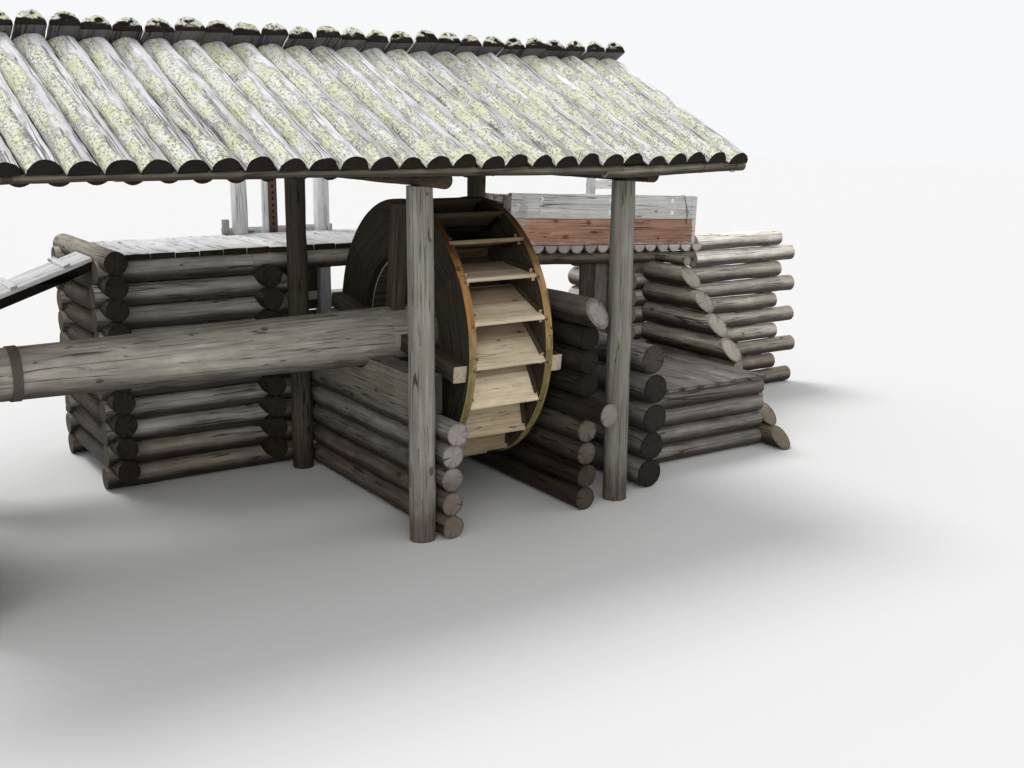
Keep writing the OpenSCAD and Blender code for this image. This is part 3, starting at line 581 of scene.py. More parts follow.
class Surface(Graph):
    """The node tree of one material, with its surface shader."""

    shine: ClassVar[float] = 0.12

    def __init__(self, name: str) -> None:
        """Starts the material of that name."""
        self.material = bpy.data.materials.new(name)
        self.material.use_nodes = True
        super().__init__(self.material.node_tree)
        self.shader = self.tree.nodes["Principled BSDF"]
        self.fill(self.shader, {"Specular IOR Level": self.shine})

    def seen(self, name: str) -> Socket:
        """One of the object's own coordinates."""
        return self.node("TexCoord").outputs[name]

    def mark(self, name: str, kind: str = "Fac") -> Socket:
        """A value that the mesh carries."""
        return self.node("Attribute", attribute_name=name).outputs[kind]

    def effect(self, name: str, **values: object) -> bpy.types.NodeOutputs:
        """Places a shared effect and returns its outputs."""
        return self.node("Group", values, node_tree=Effect.get(name)).outputs

    def lit(self, colour: Socket, tone: Socket, jitter: float, shade: object = 1.0) -> Socket:
        """Makes a colour lighter or darker, timber by timber."""
        bright = self.times(self.times(tone, jitter, 1.0 - jitter / 2), shade)
        return self.vector("MULTIPLY", colour, self.join(bright, bright, bright))

    def close(
        self, colour: Socket, height: Socket, relief: float, strength: float = 0.9, **values: object
    ) -> bpy.types.Material:
        """Links the results to the shader.

        Args:
            colour: The colour.
            height: Height of the relief.
            relief: Its depth, in metres.
            strength: Its strength.
            values: Other inputs of the shader.

        Returns:
            The material.
        """
        bump = self.node("Bump", {"Strength": strength, "Distance": relief, "Height": height}).outputs[0]
        self.fill(self.shader, {"Base Color": colour, "Normal": bump, **values})
        return self.material


def deep(colour: Colour, share: float) -> Colour:
    """A darker form of a colour."""
    return tuple(c * share for c in colour)


class Grain(Enum):
    """Where a finish takes its grain from."""

    MESH = "the grain that the mesh carries"
    AXIS_Y = "the frame's own axis Y"


@dataclass(frozen=True)
class WoodFinish:
    """Bare timber, weathered in its own way.

    Attributes:
        light: Colour of the pale fibre.
        dark: Colour of the dark fibre.
        streak: Colour of the broad stains.
        end_light: Colour of the end grain.
        end_dark: Colour of its rings and rim.
        checks: Amount of drying checks.
        knots: Size of the knots.
        radius: Radius of the log, for its dark rim.
        cover: Amount of lichen, 0 for none.
        lichen: Pale and yellow-green crust colours.
        stain: Colour of the timber between the crusts.
        wet_level: Height up to which the foot is damp, or none.
        wet_and_shade: Colour that the damp multiplies in.
        roughness: Roughness when dry.
        relief: Depth of the relief, in metres.
        jitter: How far the timbers differ in lightness.
        grain: Where the grain comes from.
        under: Lightness that faces looking down keep under the painted shade.
        crown: How far up the faces must look to stay out of the painted shade, and where it is darkest.
        low: Colour of that painted shade.
        left_side: Whether lichen keeps to the left side of each timber.
        bleach: For planks bleached at their ends and foot, both ends along X, and the foot's height and fall.
        pale: Colour that they are bleached to.
        soot_and_shade_tint: Tint of timber that sooty grime and painted shade make darker.
    """

    light: Colour
    dark: Colour
    streak: Colour
    end_light: Colour
    end_dark: Colour
    checks: float = 0.6
    knots: float = 0.14
    radius: float = 0.095
    cover: float = 0.0
    lichen: tuple[Colour, Colour] = ((1.0, 1.0, 0.95), (0.92, 0.93, 0.66))
    stain: Colour = (0.29, 0.26, 0.21)
    wet_level: float | None = None
    wet_and_shade: Colour = (0.45, 0.40, 0.36)
    roughness: float = 0.86
    relief: float = 0.006
    jitter: float = 0.3
    grain: Grain = Grain.MESH
    under: float = 1.0
    crown: Pair = (-0.05, -0.45)
    low: Colour = (0.025, 0.018, 0.014)
    left_side: bool = False
    bleach: tuple[float, float, float, float] | None = None
    pale: Colour = (0.62, 0.60, 0.585)
    soot_and_shade_tint: Colour = (1.0, 0.86, 0.68)

    def make(self, name: str) -> bpy.types.Material:
        """Builds the material of that name."""
        g = Surface(name)
        place, ways = g.seen("Object"), g.split(g.seen("Normal"))
        if self.grain is Grain.MESH:
            grain, shade = g.mark("grain", "Vector"), g.mark("shade")
            tone, cap = g.mark("tone"), g.mark("cap")
        else:
            x, y, z = g.split(place)
            grain, shade = g.join(y, x, z), 1.0
            tone, cap = g.times(0.5, 1.0), g.step(g.apart(ways[1], 0.0), 0.8, 0.95)
        fibre = g.effect("fibre", Grain=grain, Tone=tone)
        side, height = self.side(g, grain, tone, fibre)
        end, end_height = self.end(g, grain, tone, fibre)
        height = g.node("Mix", {0: cap, 2: height, 3: end_height}, data_type="FLOAT").outputs[0]
        # The shade value darkens and browns the timber for sooty grime, damp and painted shade, and lightens it above
        # 1.
        colour = g.lit(g.blend(cap, side, end), tone, self.jitter, shade)
        colour = g.blend(g.math("SUBTRACT", 1.0, shade, clamp=True), colour, self.soot_and_shade_tint, "MULTIPLY")
        sides = g.less(1.0, cap)
        roughness: object = self.roughness
        if self.cover > 0:
            _, across, upward = g.split(grain)
            left = g.times(across, -3.4 if self.left_side else 0.0)
            raised = g.times(cap, g.times(upward, 9.0, -0.2))
            facing = g.times(g.step(ways[2], -0.1, 0.8), 0.3, g.times(left, sides, raised))
            crust = g.effect("lichen", Place=place, Grain=grain, Facing=facing, Cover=self.cover)
            open_end = g.times(cap, g.step(ways[2], 0.2, 0.4)) if self.left_side else 0.0
            bare = g.times(g.math("MAXIMUM", sides, open_end), g.step(ways[2], -0.45, 0.05))
            crusted = g.times(crust["Mask"], bare)
            colour = g.blend(g.times(g.times(crust["Zone"], bare), 0.75), colour, self.stain)
            colour = g.blend(crusted, colour, g.blend(crust["Hue"], *self.lichen))
            height = g.times(g.times(crust["Height"], crusted), 1.3, height)
        if self.bleach:
            ends = dict(zip(("Start", "End", "Foot", "Fall"), self.bleach))
            colour = g.blend(g.times(g.effect("bleach", Place=place, **ends)["Mask"], 0.8), colour, self.pale)
        # Painted shade: faces that look sideways or down darken towards low, so tops stay pale and the gaps between
        # logs go dark.
        if self.under < 1:
            ragged = g.times(g.drawn(0.3, grain, 11, 3, 0.6), 0.5, g.plus(ways[2], -0.25))
            low = g.times(g.step(ragged, *self.crown), sides)
            colour = g.blend(g.times(low, 1 - self.under), colour, self.low)
        if self.wet_level is not None:
            foot = g.effect("damp", Place=place, Level=self.wet_level, Fade=0.4)["Mask"]
            colour = g.blend(foot, colour, self.wet_and_shade, "MULTIPLY")
            roughness = g.times(foot, -0.35, self.roughness)
        return g.close(colour, height, self.relief, Roughness=roughness)

    def side(self, g: Surface, grain: Socket, tone: Socket, fibre: bpy.types.NodeOutputs) -> tuple[Socket, Socket]:
        """Colour and height of the long faces: fibre, knots and drying checks."""
        split = g.effect("checks", Grain=grain, Tone=tone, Amount=self.checks)
        knot = g.effect("knots", Grain=grain, Tone=tone, Size=self.knots)
        colour = g.blend(fibre["Broad"], self.dark, self.light)
        for share, tint in (
            (g.times(g.less(1.0, fibre["Blotch"]), 0.75), self.streak),
            (g.times(fibre["Fine"], 0.3), self.light),
            (g.times(knot["Ring"], 0.4), self.dark),
            (g.times(knot["Mask"], 0.8), deep(self.dark, 0.35)),
            (g.times(split["Mask"], 0.9), deep(self.dark, 0.22)),
        ):
            colour = g.blend(share, colour, tint)
        height = g.times(fibre["Fine"], 0.22, g.times(fibre["Broad"], 0.3))
        return colour, g.less(g.times(knot["Mask"], 0.5, height), split["Depth"])

    def end(self, g: Surface, grain: Socket, tone: Socket, fibre: bpy.types.NodeOutputs) -> tuple[Socket, Socket]:
        """Colour and height of the end faces: rings, rim and radial checks."""
        rings = g.effect("rings", Grain=grain, Tone=tone, Radius=self.radius)
        colour = g.blend(rings["Ring"], self.end_light, self.end_dark)
        for share, tint in (
            (0.55, self.end_light),
            (g.times(rings["Rim"], 0.75), self.end_dark),
            (g.times(fibre["Blotch"], 0.25), self.end_dark),
            (g.times(rings["Crack"], 0.9), deep(self.end_dark, 0.2)),
        ):
            colour = g.blend(share, colour, tint)
        return colour, g.less(g.times(rings["Ring"], 0.15), rings["Crack"])


@dataclass(frozen=True)
class RimFinish:
    """Wheel rim planks: dark faces, honey-coloured outer edges.

    Attributes:
        face: Colour of the flat faces.
        face_dark: Colour of their dark fibre.
        edge: Colour of the outer edge.
        edge_dark: Colour of its dark fibre.
        foot: Colour that the lower half multiplies into the edge.
        upper: Colours that the upper half of the left and the right rim multiply in.
        top: Colour that the top multiplies in, for damp and painted shade.
        bands: Heights between which the foot, the upper half and the top set in.
        roughness: Roughness of the planks.
    """

    face: Colour
    face_dark: Colour
    edge: Colour
    edge_dark: Colour
    foot: Colour = (0.55, 0.6, 0.45)
    upper: tuple[Colour, Colour] = ((0.76, 0.55, 0.38), (0.95, 0.84, 0.68))
    top: Colour = (0.26, 0.22, 0.2)
    bands: tuple[Pair, Pair, Pair] = ((1.7, 1.4), (1.4, 1.7), (2.0, 2.22))
    roughness: float = 0.72

    def make(self, name: str) -> bpy.types.Material:
        """Builds the material; the mesh's cap value marks the edge."""
        g = Surface(name)
        place, grain, tone = g.seen("Object"), g.mark("grain", "Vector"), g.mark("tone")
        fibre = g.effect("fibre", Grain=grain, Tone=tone)
        split = g.effect("checks", Grain=grain, Tone=tone, Amount=0.5)
        knot = g.effect("knots", Grain=grain, Tone=tone, Size=0.12)
        half = g.times(fibre["Blotch"], 0.5)
        edge = g.blend(half, g.blend(fibre["Broad"], self.edge_dark, self.edge), self.edge)
        x, _, z = g.split(place)
        ragged = g.times(g.noise(place, 5, 4, 0.7), 0.5, z)
        upper = g.blend(g.step(x, -0.1, 0.1), *self.upper)
        # The edge darkens by height: an olive foot, warmer upper halves and a top darkened by damp and painted shade.
        for tint, band in zip((self.foot, upper, self.top), self.bands):
            edge = g.blend(g.step(ragged, *band), edge, tint, "MULTIPLY")
        face = g.blend(half, g.blend(fibre["Broad"], self.face_dark, self.face), self.face_dark)
        colour = g.blend(g.times(knot["Mask"], 0.6), g.blend(g.mark("cap"), face, edge), self.face_dark)
        colour = g.blend(g.times(split["Mask"], 0.85), colour, deep(self.face_dark, 0.3))
        height = g.less(g.times(fibre["Fine"], 0.2, g.times(fibre["Broad"], 0.3)), split["Depth"])
        return g.close(g.lit(colour, tone, 0.3), height, 0.004, Roughness=self.roughness)


@dataclass(frozen=True)
class MetalFinish:
    """Iron or galvanised steel with rust.

    Attributes:
        metal: Colour of the bare metal.
        rust: Light and dark rust.
        amount: How far the rust has gone, from -0.5 to 0.5.
        metallic: Metallic value of the clean metal.
        roughness: Its roughness.
        rusted: Roughness of the rust.
    """

    metal: Colour
    rust: tuple[Colour, Colour]
    amount: float = 0.1
    metallic: float = 0.8
    roughness: float = 0.5
    rusted: float = 0.85

    def make(self, name: str) -> bpy.types.Material:
        """Builds the material of that name."""
        g = Surface(name)
        rust = g.effect("rust", Place=g.seen("Object"), Amount=self.amount)
        colour = g.blend(rust["Mask"], self.metal, g.blend(rust["Hue"], *self.rust))
        metallic = g.times(rust["Mask"], -self.metallic, self.metallic)
        rough = g.times(rust["Mask"], self.rusted - self.roughness, self.roughness)
        return g.close(colour, rust["Height"], 0.0015, 0.6, Metallic=metallic, Roughness=rough)


class Finishes:
    """All finishes by the record's slot names."""

    made: ClassVar[dict[str, bpy.types.Material]] = {}
    known: ClassVar[dict[str, WoodFinish | RimFinish | MetalFinish]] = {
        "post_wood": WoodFinish(
            (0.33, 0.32, 0.285), (0.17, 0.16, 0.14), (0.20, 0.175, 0.14), (0.5, 0.45, 0.37), (0.24, 0.2, 0.16),
            checks=0.5, radius=0.09, wet_level=0.25),
        "shade_wood": WoodFinish(
            (0.24, 0.21, 0.175), (0.12, 0.10, 0.08), (0.13, 0.10, 0.08), (0.3, 0.27, 0.23), (0.13, 0.11, 0.09),
            radius=0.07),
        "roof_wood": WoodFinish(
            (0.30, 0.28, 0.25), (0.15, 0.135, 0.12), (0.13, 0.11, 0.09), (0.06, 0.055, 0.048), (0.02, 0.018, 0.015),
            radius=0.09),
        "lichen_wood": WoodFinish(
            (1.0, 0.99, 1.0), (0.74, 0.72, 0.77), (0.60, 0.58, 0.60), (0.022, 0.018, 0.015), (0.01, 0.008, 0.007),
            checks=1.0, cover=0.12, relief=0.009, under=0.12, left_side=True),
        "pole_wood": WoodFinish(
            (0.30, 0.28, 0.22), (0.15, 0.135, 0.10), (0.12, 0.10, 0.075), (0.4, 0.35, 0.28), (0.2, 0.17, 0.13),
            radius=0.045, under=0.2, crown=(0.35, -0.55)),
        "crib_wood": WoodFinish(
            (0.86, 0.83, 0.76), (0.46, 0.435, 0.385), (0.30, 0.27, 0.225), (0.46, 0.42, 0.36), (0.16, 0.14, 0.12),
            wet_level=0.4, under=0.1, crown=(0.5, -0.5)),
        "silver_wood": WoodFinish(
            (0.98, 0.98, 0.99), (0.76, 0.755, 0.76), (0.66, 0.65, 0.65), (0.6, 0.57, 0.52), (0.3, 0.28, 0.25),
            checks=0.7),
        "wet_wood": WoodFinish(
            (0.30, 0.275, 0.25), (0.13, 0.115, 0.10), (0.09, 0.08, 0.07), (0.22, 0.20, 0.19), (0.05, 0.045, 0.04),
            radius=0.115, roughness=0.5, under=0.15, crown=(0.4, -0.5)),
        "pit_wood": WoodFinish(
            (0.40, 0.375, 0.335), (0.20, 0.18, 0.155), (0.13, 0.115, 0.095), (0.42, 0.385, 0.36), (0.16, 0.14, 0.125),
            radius=0.085, wet_level=0.45, under=0.15, crown=(0.4, -0.5)),
        "hewn_wood": WoodFinish(
            (0.31, 0.29, 0.235), (0.16, 0.145, 0.12), (0.12, 0.105, 0.08), (0.4, 0.37, 0.31), (0.18, 0.155, 0.125),
            grain=Grain.AXIS_Y, jitter=0.0),
        "trough_wood": WoodFinish(
            (0.74, 0.735, 0.72), (0.50, 0.49, 0.47), (0.44, 0.43, 0.41), (0.5, 0.46, 0.4), (0.25, 0.21, 0.17),
            bleach=(1.36, 3.58, 1.60, 0.042)),
        "trough_floor_wood": WoodFinish(
            (0.52, 0.48, 0.43), (0.30, 0.27, 0.235), (0.24, 0.21, 0.18), (0.58, 0.53, 0.49), (0.2, 0.175, 0.155),
            radius=0.072, under=0.3),
        "red_wood": WoodFinish(
            (0.44, 0.255, 0.17), (0.24, 0.135, 0.095), (0.21, 0.12, 0.085), (0.35, 0.2, 0.13), (0.16, 0.08, 0.05),
            bleach=(1.36, 3.58, 1.70, 0.042)),
        "shaft_wood": WoodFinish(
            (0.56, 0.525, 0.46), (0.29, 0.27, 0.235), (0.22, 0.195, 0.16), (0.46, 0.42, 0.35), (0.2, 0.17, 0.14),
            checks=0.45, knots=0.12, radius=0.19, jitter=0.0, under=0.3, crown=(-0.2, -0.9)),
        "wheel_dark_wood": WoodFinish(
            (0.125, 0.105, 0.08), (0.055, 0.044, 0.034), (0.07, 0.052, 0.035), (0.60, 0.50, 0.38), (0.34, 0.26, 0.18)),
        "wheel_board_wood": WoodFinish(
            (0.74, 0.65, 0.49), (0.50, 0.42, 0.31), (0.46, 0.34, 0.20), (0.60, 0.42, 0.25), (0.34, 0.20, 0.10),
            checks=0.12, jitter=0.4, relief=0.003),
        "wheel_rim_wood": RimFinish(
            (0.060, 0.050, 0.034), (0.030, 0.025, 0.017), (0.50, 0.36, 0.19), (0.22, 0.17, 0.095)),
        "rusty_iron": MetalFinish((0.13, 0.10, 0.09), ((0.17, 0.085, 0.06), (0.10, 0.055, 0.042)), 0.25, 0.4, 0.7),
        "dark_iron": MetalFinish((0.10, 0.095, 0.085), ((0.17, 0.14, 0.11), (0.10, 0.08, 0.065)), 0.3, 0.3, 0.7),
        "zinc_steel": MetalFinish((0.86, 0.87, 0.90), ((0.36, 0.22, 0.14), (0.26, 0.15, 0.10)), -0.5, 0.4, 0.4),
    }

    @classmethod
    def get(cls, slot: str) -> bpy.types.Material:
        """The material of a slot, made when first asked for."""
        if slot not in cls.made:
            cls.made[slot] = cls.known[slot].make(slot)
        return cls.made[slot]

    @classmethod
    def dress(cls, *nodes: str, finish: str = "") -> None:
        """Gives carried-over frame nodes the finish of their slots, or the named one, and eased edges."""
        slots = {p["node"]: p["material_slot"] for p in frame["record"]["subparts"]}
        for name in nodes:
            node = frame["nodes"][name]
            node.data.materials.clear()
            node.data.materials.append(cls.get(finish or slots[name]))
            ease = node.modifiers.new("eased edges", "BEVEL")
            ease.width, ease.segments, ease.limit_method = 0.003, 2, "ANGLE"
            ease.angle_limit = math.radians(40)
            node.data.shade_flat()


def meshes(seed: int, count: int) -> list[TimberMesh]:
    """Empty meshes, each with its own chance values."""
    return [TimberMesh(seed + i) for i in range(count)]


@dataclass
class LogRoof:
    """Roof of half logs in two layers, with eave poles.

    The cover logs lean by skew off the fall line; eave_in is how far the poles hang past the lower logs.
    """

    x0: float = -4.35
    x1: float = 1.70
    count: int = 32
    pitch: float = math.radians(26)
    apex: float = 3.350
    over_r: float = 0.094
    under_r: float = 0.09
    over_reach: float = 1.465
    under_reach: float = 1.36
    cap_over: float = 0.2
    skew: float = math.radians(3.5)
    ridge_cut: float = 0.79
    hang: float = 1.28
    eave_in: float = 0.052
    pole_over: float = 0.04
    pole_r: float = 0.034
    pole_lap: float = 0.14
    front_joints: Pair = (-2.62, 0.62)
    rear_joint: float = -1.4
    pole_ends: tuple[Pair, Pair, Pair] = ((0.026, 0.025), (0.025, 0.033), (0.041, 0.037))
    pole_drops: tuple[Pair, Pair, Pair] = ((0.022, 0.017), (0.02, 0.034), (0.043, 0.018))
    pole_shades: Triple = (1.0, 0.85, 1.6)
    tie_x: Pair = (1.336, 1.647)
    tie_loop: float = 0.0425
    tie_r: float = 0.003

    def at(self, x: float, s: float, n: float, front: bool) -> Point:
        """Place on a slope: s down the slope, n out of it."""
        c, k = math.cos(self.pitch), math.sin(self.pitch)
        y = s * c + n * k
        return (x, -y if front else y, self.apex - self.over_r / c - s * k + n * c)

    @property
    def eave(self) -> float:
        """Distance of the eave poles down the slope."""
        return (self.under_reach + self.eave_in) / math.cos(self.pitch)

    def build(self) -> None:
        """Builds both layers, the poles and their ties."""
        over, under, poles, ties = meshes(1, 4)
        for front in (False, True):
            self.add_logs(over, under, front)
            self.add_poles(poles, front)
        drop = self.pole_ends[-1][1] + self.pole_drops[-1][1] + self.tie_r
        for x in self.tie_x:
            _, y, z = self.at(x, self.eave, -drop, True)
            turns = arc(0, 2 * math.pi, 17)
            ties.wire([(x + 0.006 * v, y + self.tie_loop * u, z + self.tie_loop * v) for u, v in turns], self.tie_r)
        over.finish("roof_cover_logs", "lichen_wood", "roof_over")
        under.finish("roof_lower_logs", "roof_wood", "roof_under")
        poles.finish("roof_eave_poles", "pole_wood", "eave_poles")
        ties.finish("eave_wire_ties", "rusty_iron")

    def add_logs(self, over: TimberMesh, under: TimberMesh, front: bool) -> None:
        """Adds one slope; the front cover logs butt at the ridge, the rear ones reach over it."""
        step, slope = (self.x1 - self.x0) / self.count, math.cos(self.pitch)
        out = (0, math.sin(self.pitch) * (-1 if front else 1), slope)
        row = 9 if front else 5
        for i in range(self.count):
            x = self.x0 + (i + 0.5) * step
            r = self.over_r - 0.003 - 0.003 * vary(i, row + 2)
            top = GAP if front else 0.022 * vary(i, row) - self.cap_over / slope + 0.014
            foot = self.over_reach / slope + 0.016 * vary(i, row + 1)
            ends = [
                self.at(x + (s - foot) * math.sin(self.skew), foot + (s - foot) * math.cos(self.skew), 0, front)
                for s in (top, foot)
            ]
            over.add(Timber(
                *ends, half_section(True, 19), (r, r * (0.945 + 0.045 * vary(i, 61))), out, 26, 0.007, 0.07, 0.005,
                (math.tan(self.skew), self.ridge_cut) if front else (0, 0), pith=(0, 0.004),
                ragged=0.003 if front else 0.011, shade=0.92 + 0.1 * vary(i, 62), fade=0.25))
            if i:
                x = self.x0 + i * step
                under.add(Timber(
                    self.at(x, 0.0003, 0, front), self.at(x, self.under_reach / slope + 0.026, 0, front),
                    half_section(False) * (1, self.hang + 0.06 * vary(i, 2)),
                    (self.under_r * 0.9, self.under_r * 0.99), out, 14, 0.004, 0.1, 0.0, ragged=0.002,
                    shade=0.8, end_shade=0.8))

    def add_poles(self, poles: TimberMesh, front: bool) -> None:
        """Adds the pole of one eave, in lengths that lap."""
        joints = self.front_joints if front else (self.rear_joint,)
        ends = (self.x0 - self.pole_over, *joints, self.x1 + self.pole_over)
        for j, (a, b) in enumerate(zip(ends, ends[1:])):
            r0, r1 = self.pole_ends[j] if front else (self.pole_r,) * 2
            d0, d1 = self.pole_drops[j] if front else (GAP, GAP)
            start = self.at(a - (self.pole_lap if j else 0.0), self.eave, -r0 - d0, front)
            poles.add(Timber(
                start, self.at(b, self.eave, -r1 - d1, front), round_section(14), (r0, r1), (0, 0, 1), 30, 0.003,
                0.06, 0.004, shade=self.pole_shades[j] if front else 1.0))


@dataclass
class Shelter:
    """Posts, tie beams, king posts, ridge beam and plates."""

    row_y: float = 1.005
    post_x: Triple = (-3.60, -0.73, 0.95)
    post_r: float = 0.093
    post_top: float = 2.40
    front_slim: Pair = (0.99, 0.935)
    rear_slim: Pair = (0.9, 0.86)
    tie_z: float = 2.464
    tie_r: float = 0.072
    tie_tip_r: float = 0.056
    tie_over: float = 0.325
    ridge_z: float = 3.0580
    ridge_r: float = 0.078
    plate_z: float = 2.5856
    plate_r: float = 0.062
    king_r: float = 0.06
    beam_x: Pair = (-4.26, 1.52)
    plate_x: Pair = (-4.28, 1.63)

    def build(self) -> None:
        """Builds the frame of the shelter."""
        posts, ties, kings, ridge, plates = meshes(10, 5)
        for x in self.post_x:
            # The rear posts are painted darker and browner: painted shade under the roof.
            for way, slim, shade in ((-1, self.front_slim, 1.0), (1, self.rear_slim, 0.3)):
                posts.add(upright(
                    x, way * self.row_y, 0, self.post_top, (self.post_r * slim[0], self.post_r * slim[1]), 46,
                    section=round_section(28), rough=0.004, lump=0.11, bow=0.003, pith=(0.01, 0.006), shade=shade))
            y = self.row_y + self.tie_over
            # The tie beams and their ends are painted darker: painted shade under the roof.
            ties.add(Timber(
                (x, -y, self.tie_z - 0.012), (x, y, self.tie_z), round_section(), (self.tie_tip_r, self.tie_r * 0.985),
                stations=30, rough=0.004, shade=0.4, end_shade=0.2))
            kings.add(upright(x, 0, self.tie_z, self.ridge_z, (self.king_r * 0.98,) * 2, 8, section=round_section()))
        ridge.add(log_x(*self.beam_x, 0, self.ridge_z, self.ridge_r))
        for way in (-1, 1):
            plates.add(log_x(*self.plate_x, way * self.row_y, self.plate_z, self.plate_r))
        posts.finish("shelter_posts", "post_wood", "posts")
        ties.finish("shelter_tie_beams", "shade_wood", "tie_beams")
        kings.finish("shelter_king_posts", "shade_wood", "king_posts")
        ridge.finish("shelter_ridge_beam", "shade_wood", "ridge_beam")
        plates.finish("shelter_plates", "shade_wood", "plates")


@dataclass
class DamCrib:
    """Log crib with saddled corners, its deck and ramp.

    The four tails are how far the logs run past the corners to the left, right, front and rear.
    """

    log_r: float = 0.088
    logs: int = 10
    sill_logs: int = 7
    sill_end: float = 1.454
    dam_y: float = 1.235
    rear_y: float = 2.40
    bearer_y: float = 2.10
    side_x: Pair = (-2.142, -0.933)
    tails: tuple[float, float, float, float] = (0.115, 0.2, 0.21, 0.19)
    joist_x: float = -1.033
    joist_r: float = 0.08
    deck_x1: float = 0.5
    deck_y1: float = 2.1986
    deck_t: float = 0.05
    post_x: float = 0.4246
    step: float = 0.19
    ramp_len: float = 1.35
    ramp_w: float = 0.47
    ramp_boards: int = 4
    ramp_t: Pair = (0.03, 0.062)
    ramp_pitch: float = math.radians(19.5)
    batten_z: float = 0.074

    @property
    def top(self) -> float:
        """Top of the crib's long logs."""
        return stack_z(self.logs - 1, self.log_r) + self.log_r

    def ramp(self, x: float, y: float, z: float) -> Point:
        """Place in the ramp's own frame."""
        c, k = math.cos(self.ramp_pitch), math.sin(self.ramp_pitch)
        return (self.side_x[0] - 0.01 + x * c - z * k, self.dam_y + 0.06 + y, self.top - 0.01 + x * k + z * c)

    def build(self) -> None:
        """Builds walls, deck and ramp."""
        self.build_walls()
        self.build_deck()
        self.build_ramp()
        Finishes.dress("ramp_foot")

    def build_walls(self) -> None:
        """Builds the long logs and the cross logs between them."""
        long_logs, cross_logs = meshes(20, 2)
        left, right, front, rear = self.tails
        start, corner, last = self.side_x[0] - left, self.side_x[1] + right, self.logs - 1
        for k in range(self.logs):
            end = self.joist_x - 0.005 if k == last else corner + 0.016 * vary(k, 2)
            rear_end = self.sill_end if k < self.sill_logs else corner
            for x, y, row in ((end, self.dam_y, 1), (rear_end, self.rear_y, 3)):
                # The long logs' end faces are darkened: painted shade.
                long_logs.add(log_x(
                    start + 0.016 * vary(k, row), x, y, stack_z(k, self.log_r), self.log_r,
                    rough=0.005, bow=0.003, end_shade=0.3))
        for i, x in enumerate(self.side_x):
            for k in range(self.logs - i):
                # The cross logs below the top one, and all their ends, are painted nearly black: painted shade on the
                # crib's sides.
                cross_logs.add(log_y(
                    self.dam_y - front + 0.018 * vary(k, 5 + i), self.rear_y + rear, x,
                    stack_z(k + 0.5, self.log_r), self.log_r, rough=0.005,
                    shade=0.62 if k == last else 0.14, end_shade=0.13))
        long_logs.finish("crib_long_logs", "crib_wood", "crib_logs_x")
        cross_logs.finish("crib_cross_logs", "crib_wood", "crib_logs_y")

    def build_deck(self) -> None:
        """Builds the deck on its bearers and posts."""
        bearers, posts, deck = meshes(22, 3)
        joist = (self.top - stack_z(self.logs - 1.5, self.log_r) - self.log_r - GAP) / 2
        wall = self.side_x[0] + self.log_r
        bearers.add(log_x(wall + 0.002, self.deck_x1, self.bearer_y, self.top - joist, joist))
        bearers.add(log_x(self.joist_x, self.deck_x1, self.dam_y, self.top - self.joist_r, self.joist_r))
        for y in (self.dam_y, self.bearer_y):
            posts.add(upright(self.post_x, y, 0, self.top - 0.06, (0.059, 0.058), 20))
        for i in range(int((self.deck_x1 - wall - 0.014) / self.step)):
            x = wall + 0.014 + i * self.step
            deck.add(board(
                (x + 0.001, self.dam_y - self.log_r - 0.005 + 0.004 * vary(i, 3), self.top + 0.001),
                (x + self.step - 0.001, self.deck_y1, self.top + self.deck_t - 0.004 - 0.004 * vary(i, 8)),
                1, rough=0.003, end_shade=0.1))
        bearers.finish("deck_bearer_logs", "crib_wood", "deck_bearers")
        posts.finish("deck_post_logs", "crib_wood", "deck_posts")
        deck.finish("deck_boards", "silver_wood", "deck_planks")

    def build_ramp(self) -> None:
        """Builds the ramp's boards and cross battens."""
        planks, battens = meshes(25, 2)
        up = tuple(np.subtract(self.ramp(0, 0, 1), self.ramp(0, 0, 0)))
        wide, (low, high) = self.ramp_w / self.ramp_boards, self.ramp_t
        for i in range(self.ramp_boards):
            y, z = (i + 0.5) * wide, (low + high) / 2
            planks.add(plank(
                self.ramp(-self.ramp_len - 0.04 * vary(i, 1), y, z), self.ramp(-0.075, y, z), wide - 0.01,
                high - low - 0.001, up, 18, rough=0.002, lump=0.16, pith=PLANK_PITH))
        for i in range(3):
            ends = [self.ramp(-0.264 - 0.4 * i, y, self.batten_z) for y in (-0.02, self.ramp_w + 0.02)]
            battens.add(plank(*ends, 0.05, 0.024, up, 8, rough=0.0015))
        planks.finish("ramp_boards", "silver_wood", "ramp_planks")
        battens.finish("ramp_cross_battens", "silver_wood", "ramp_battens")


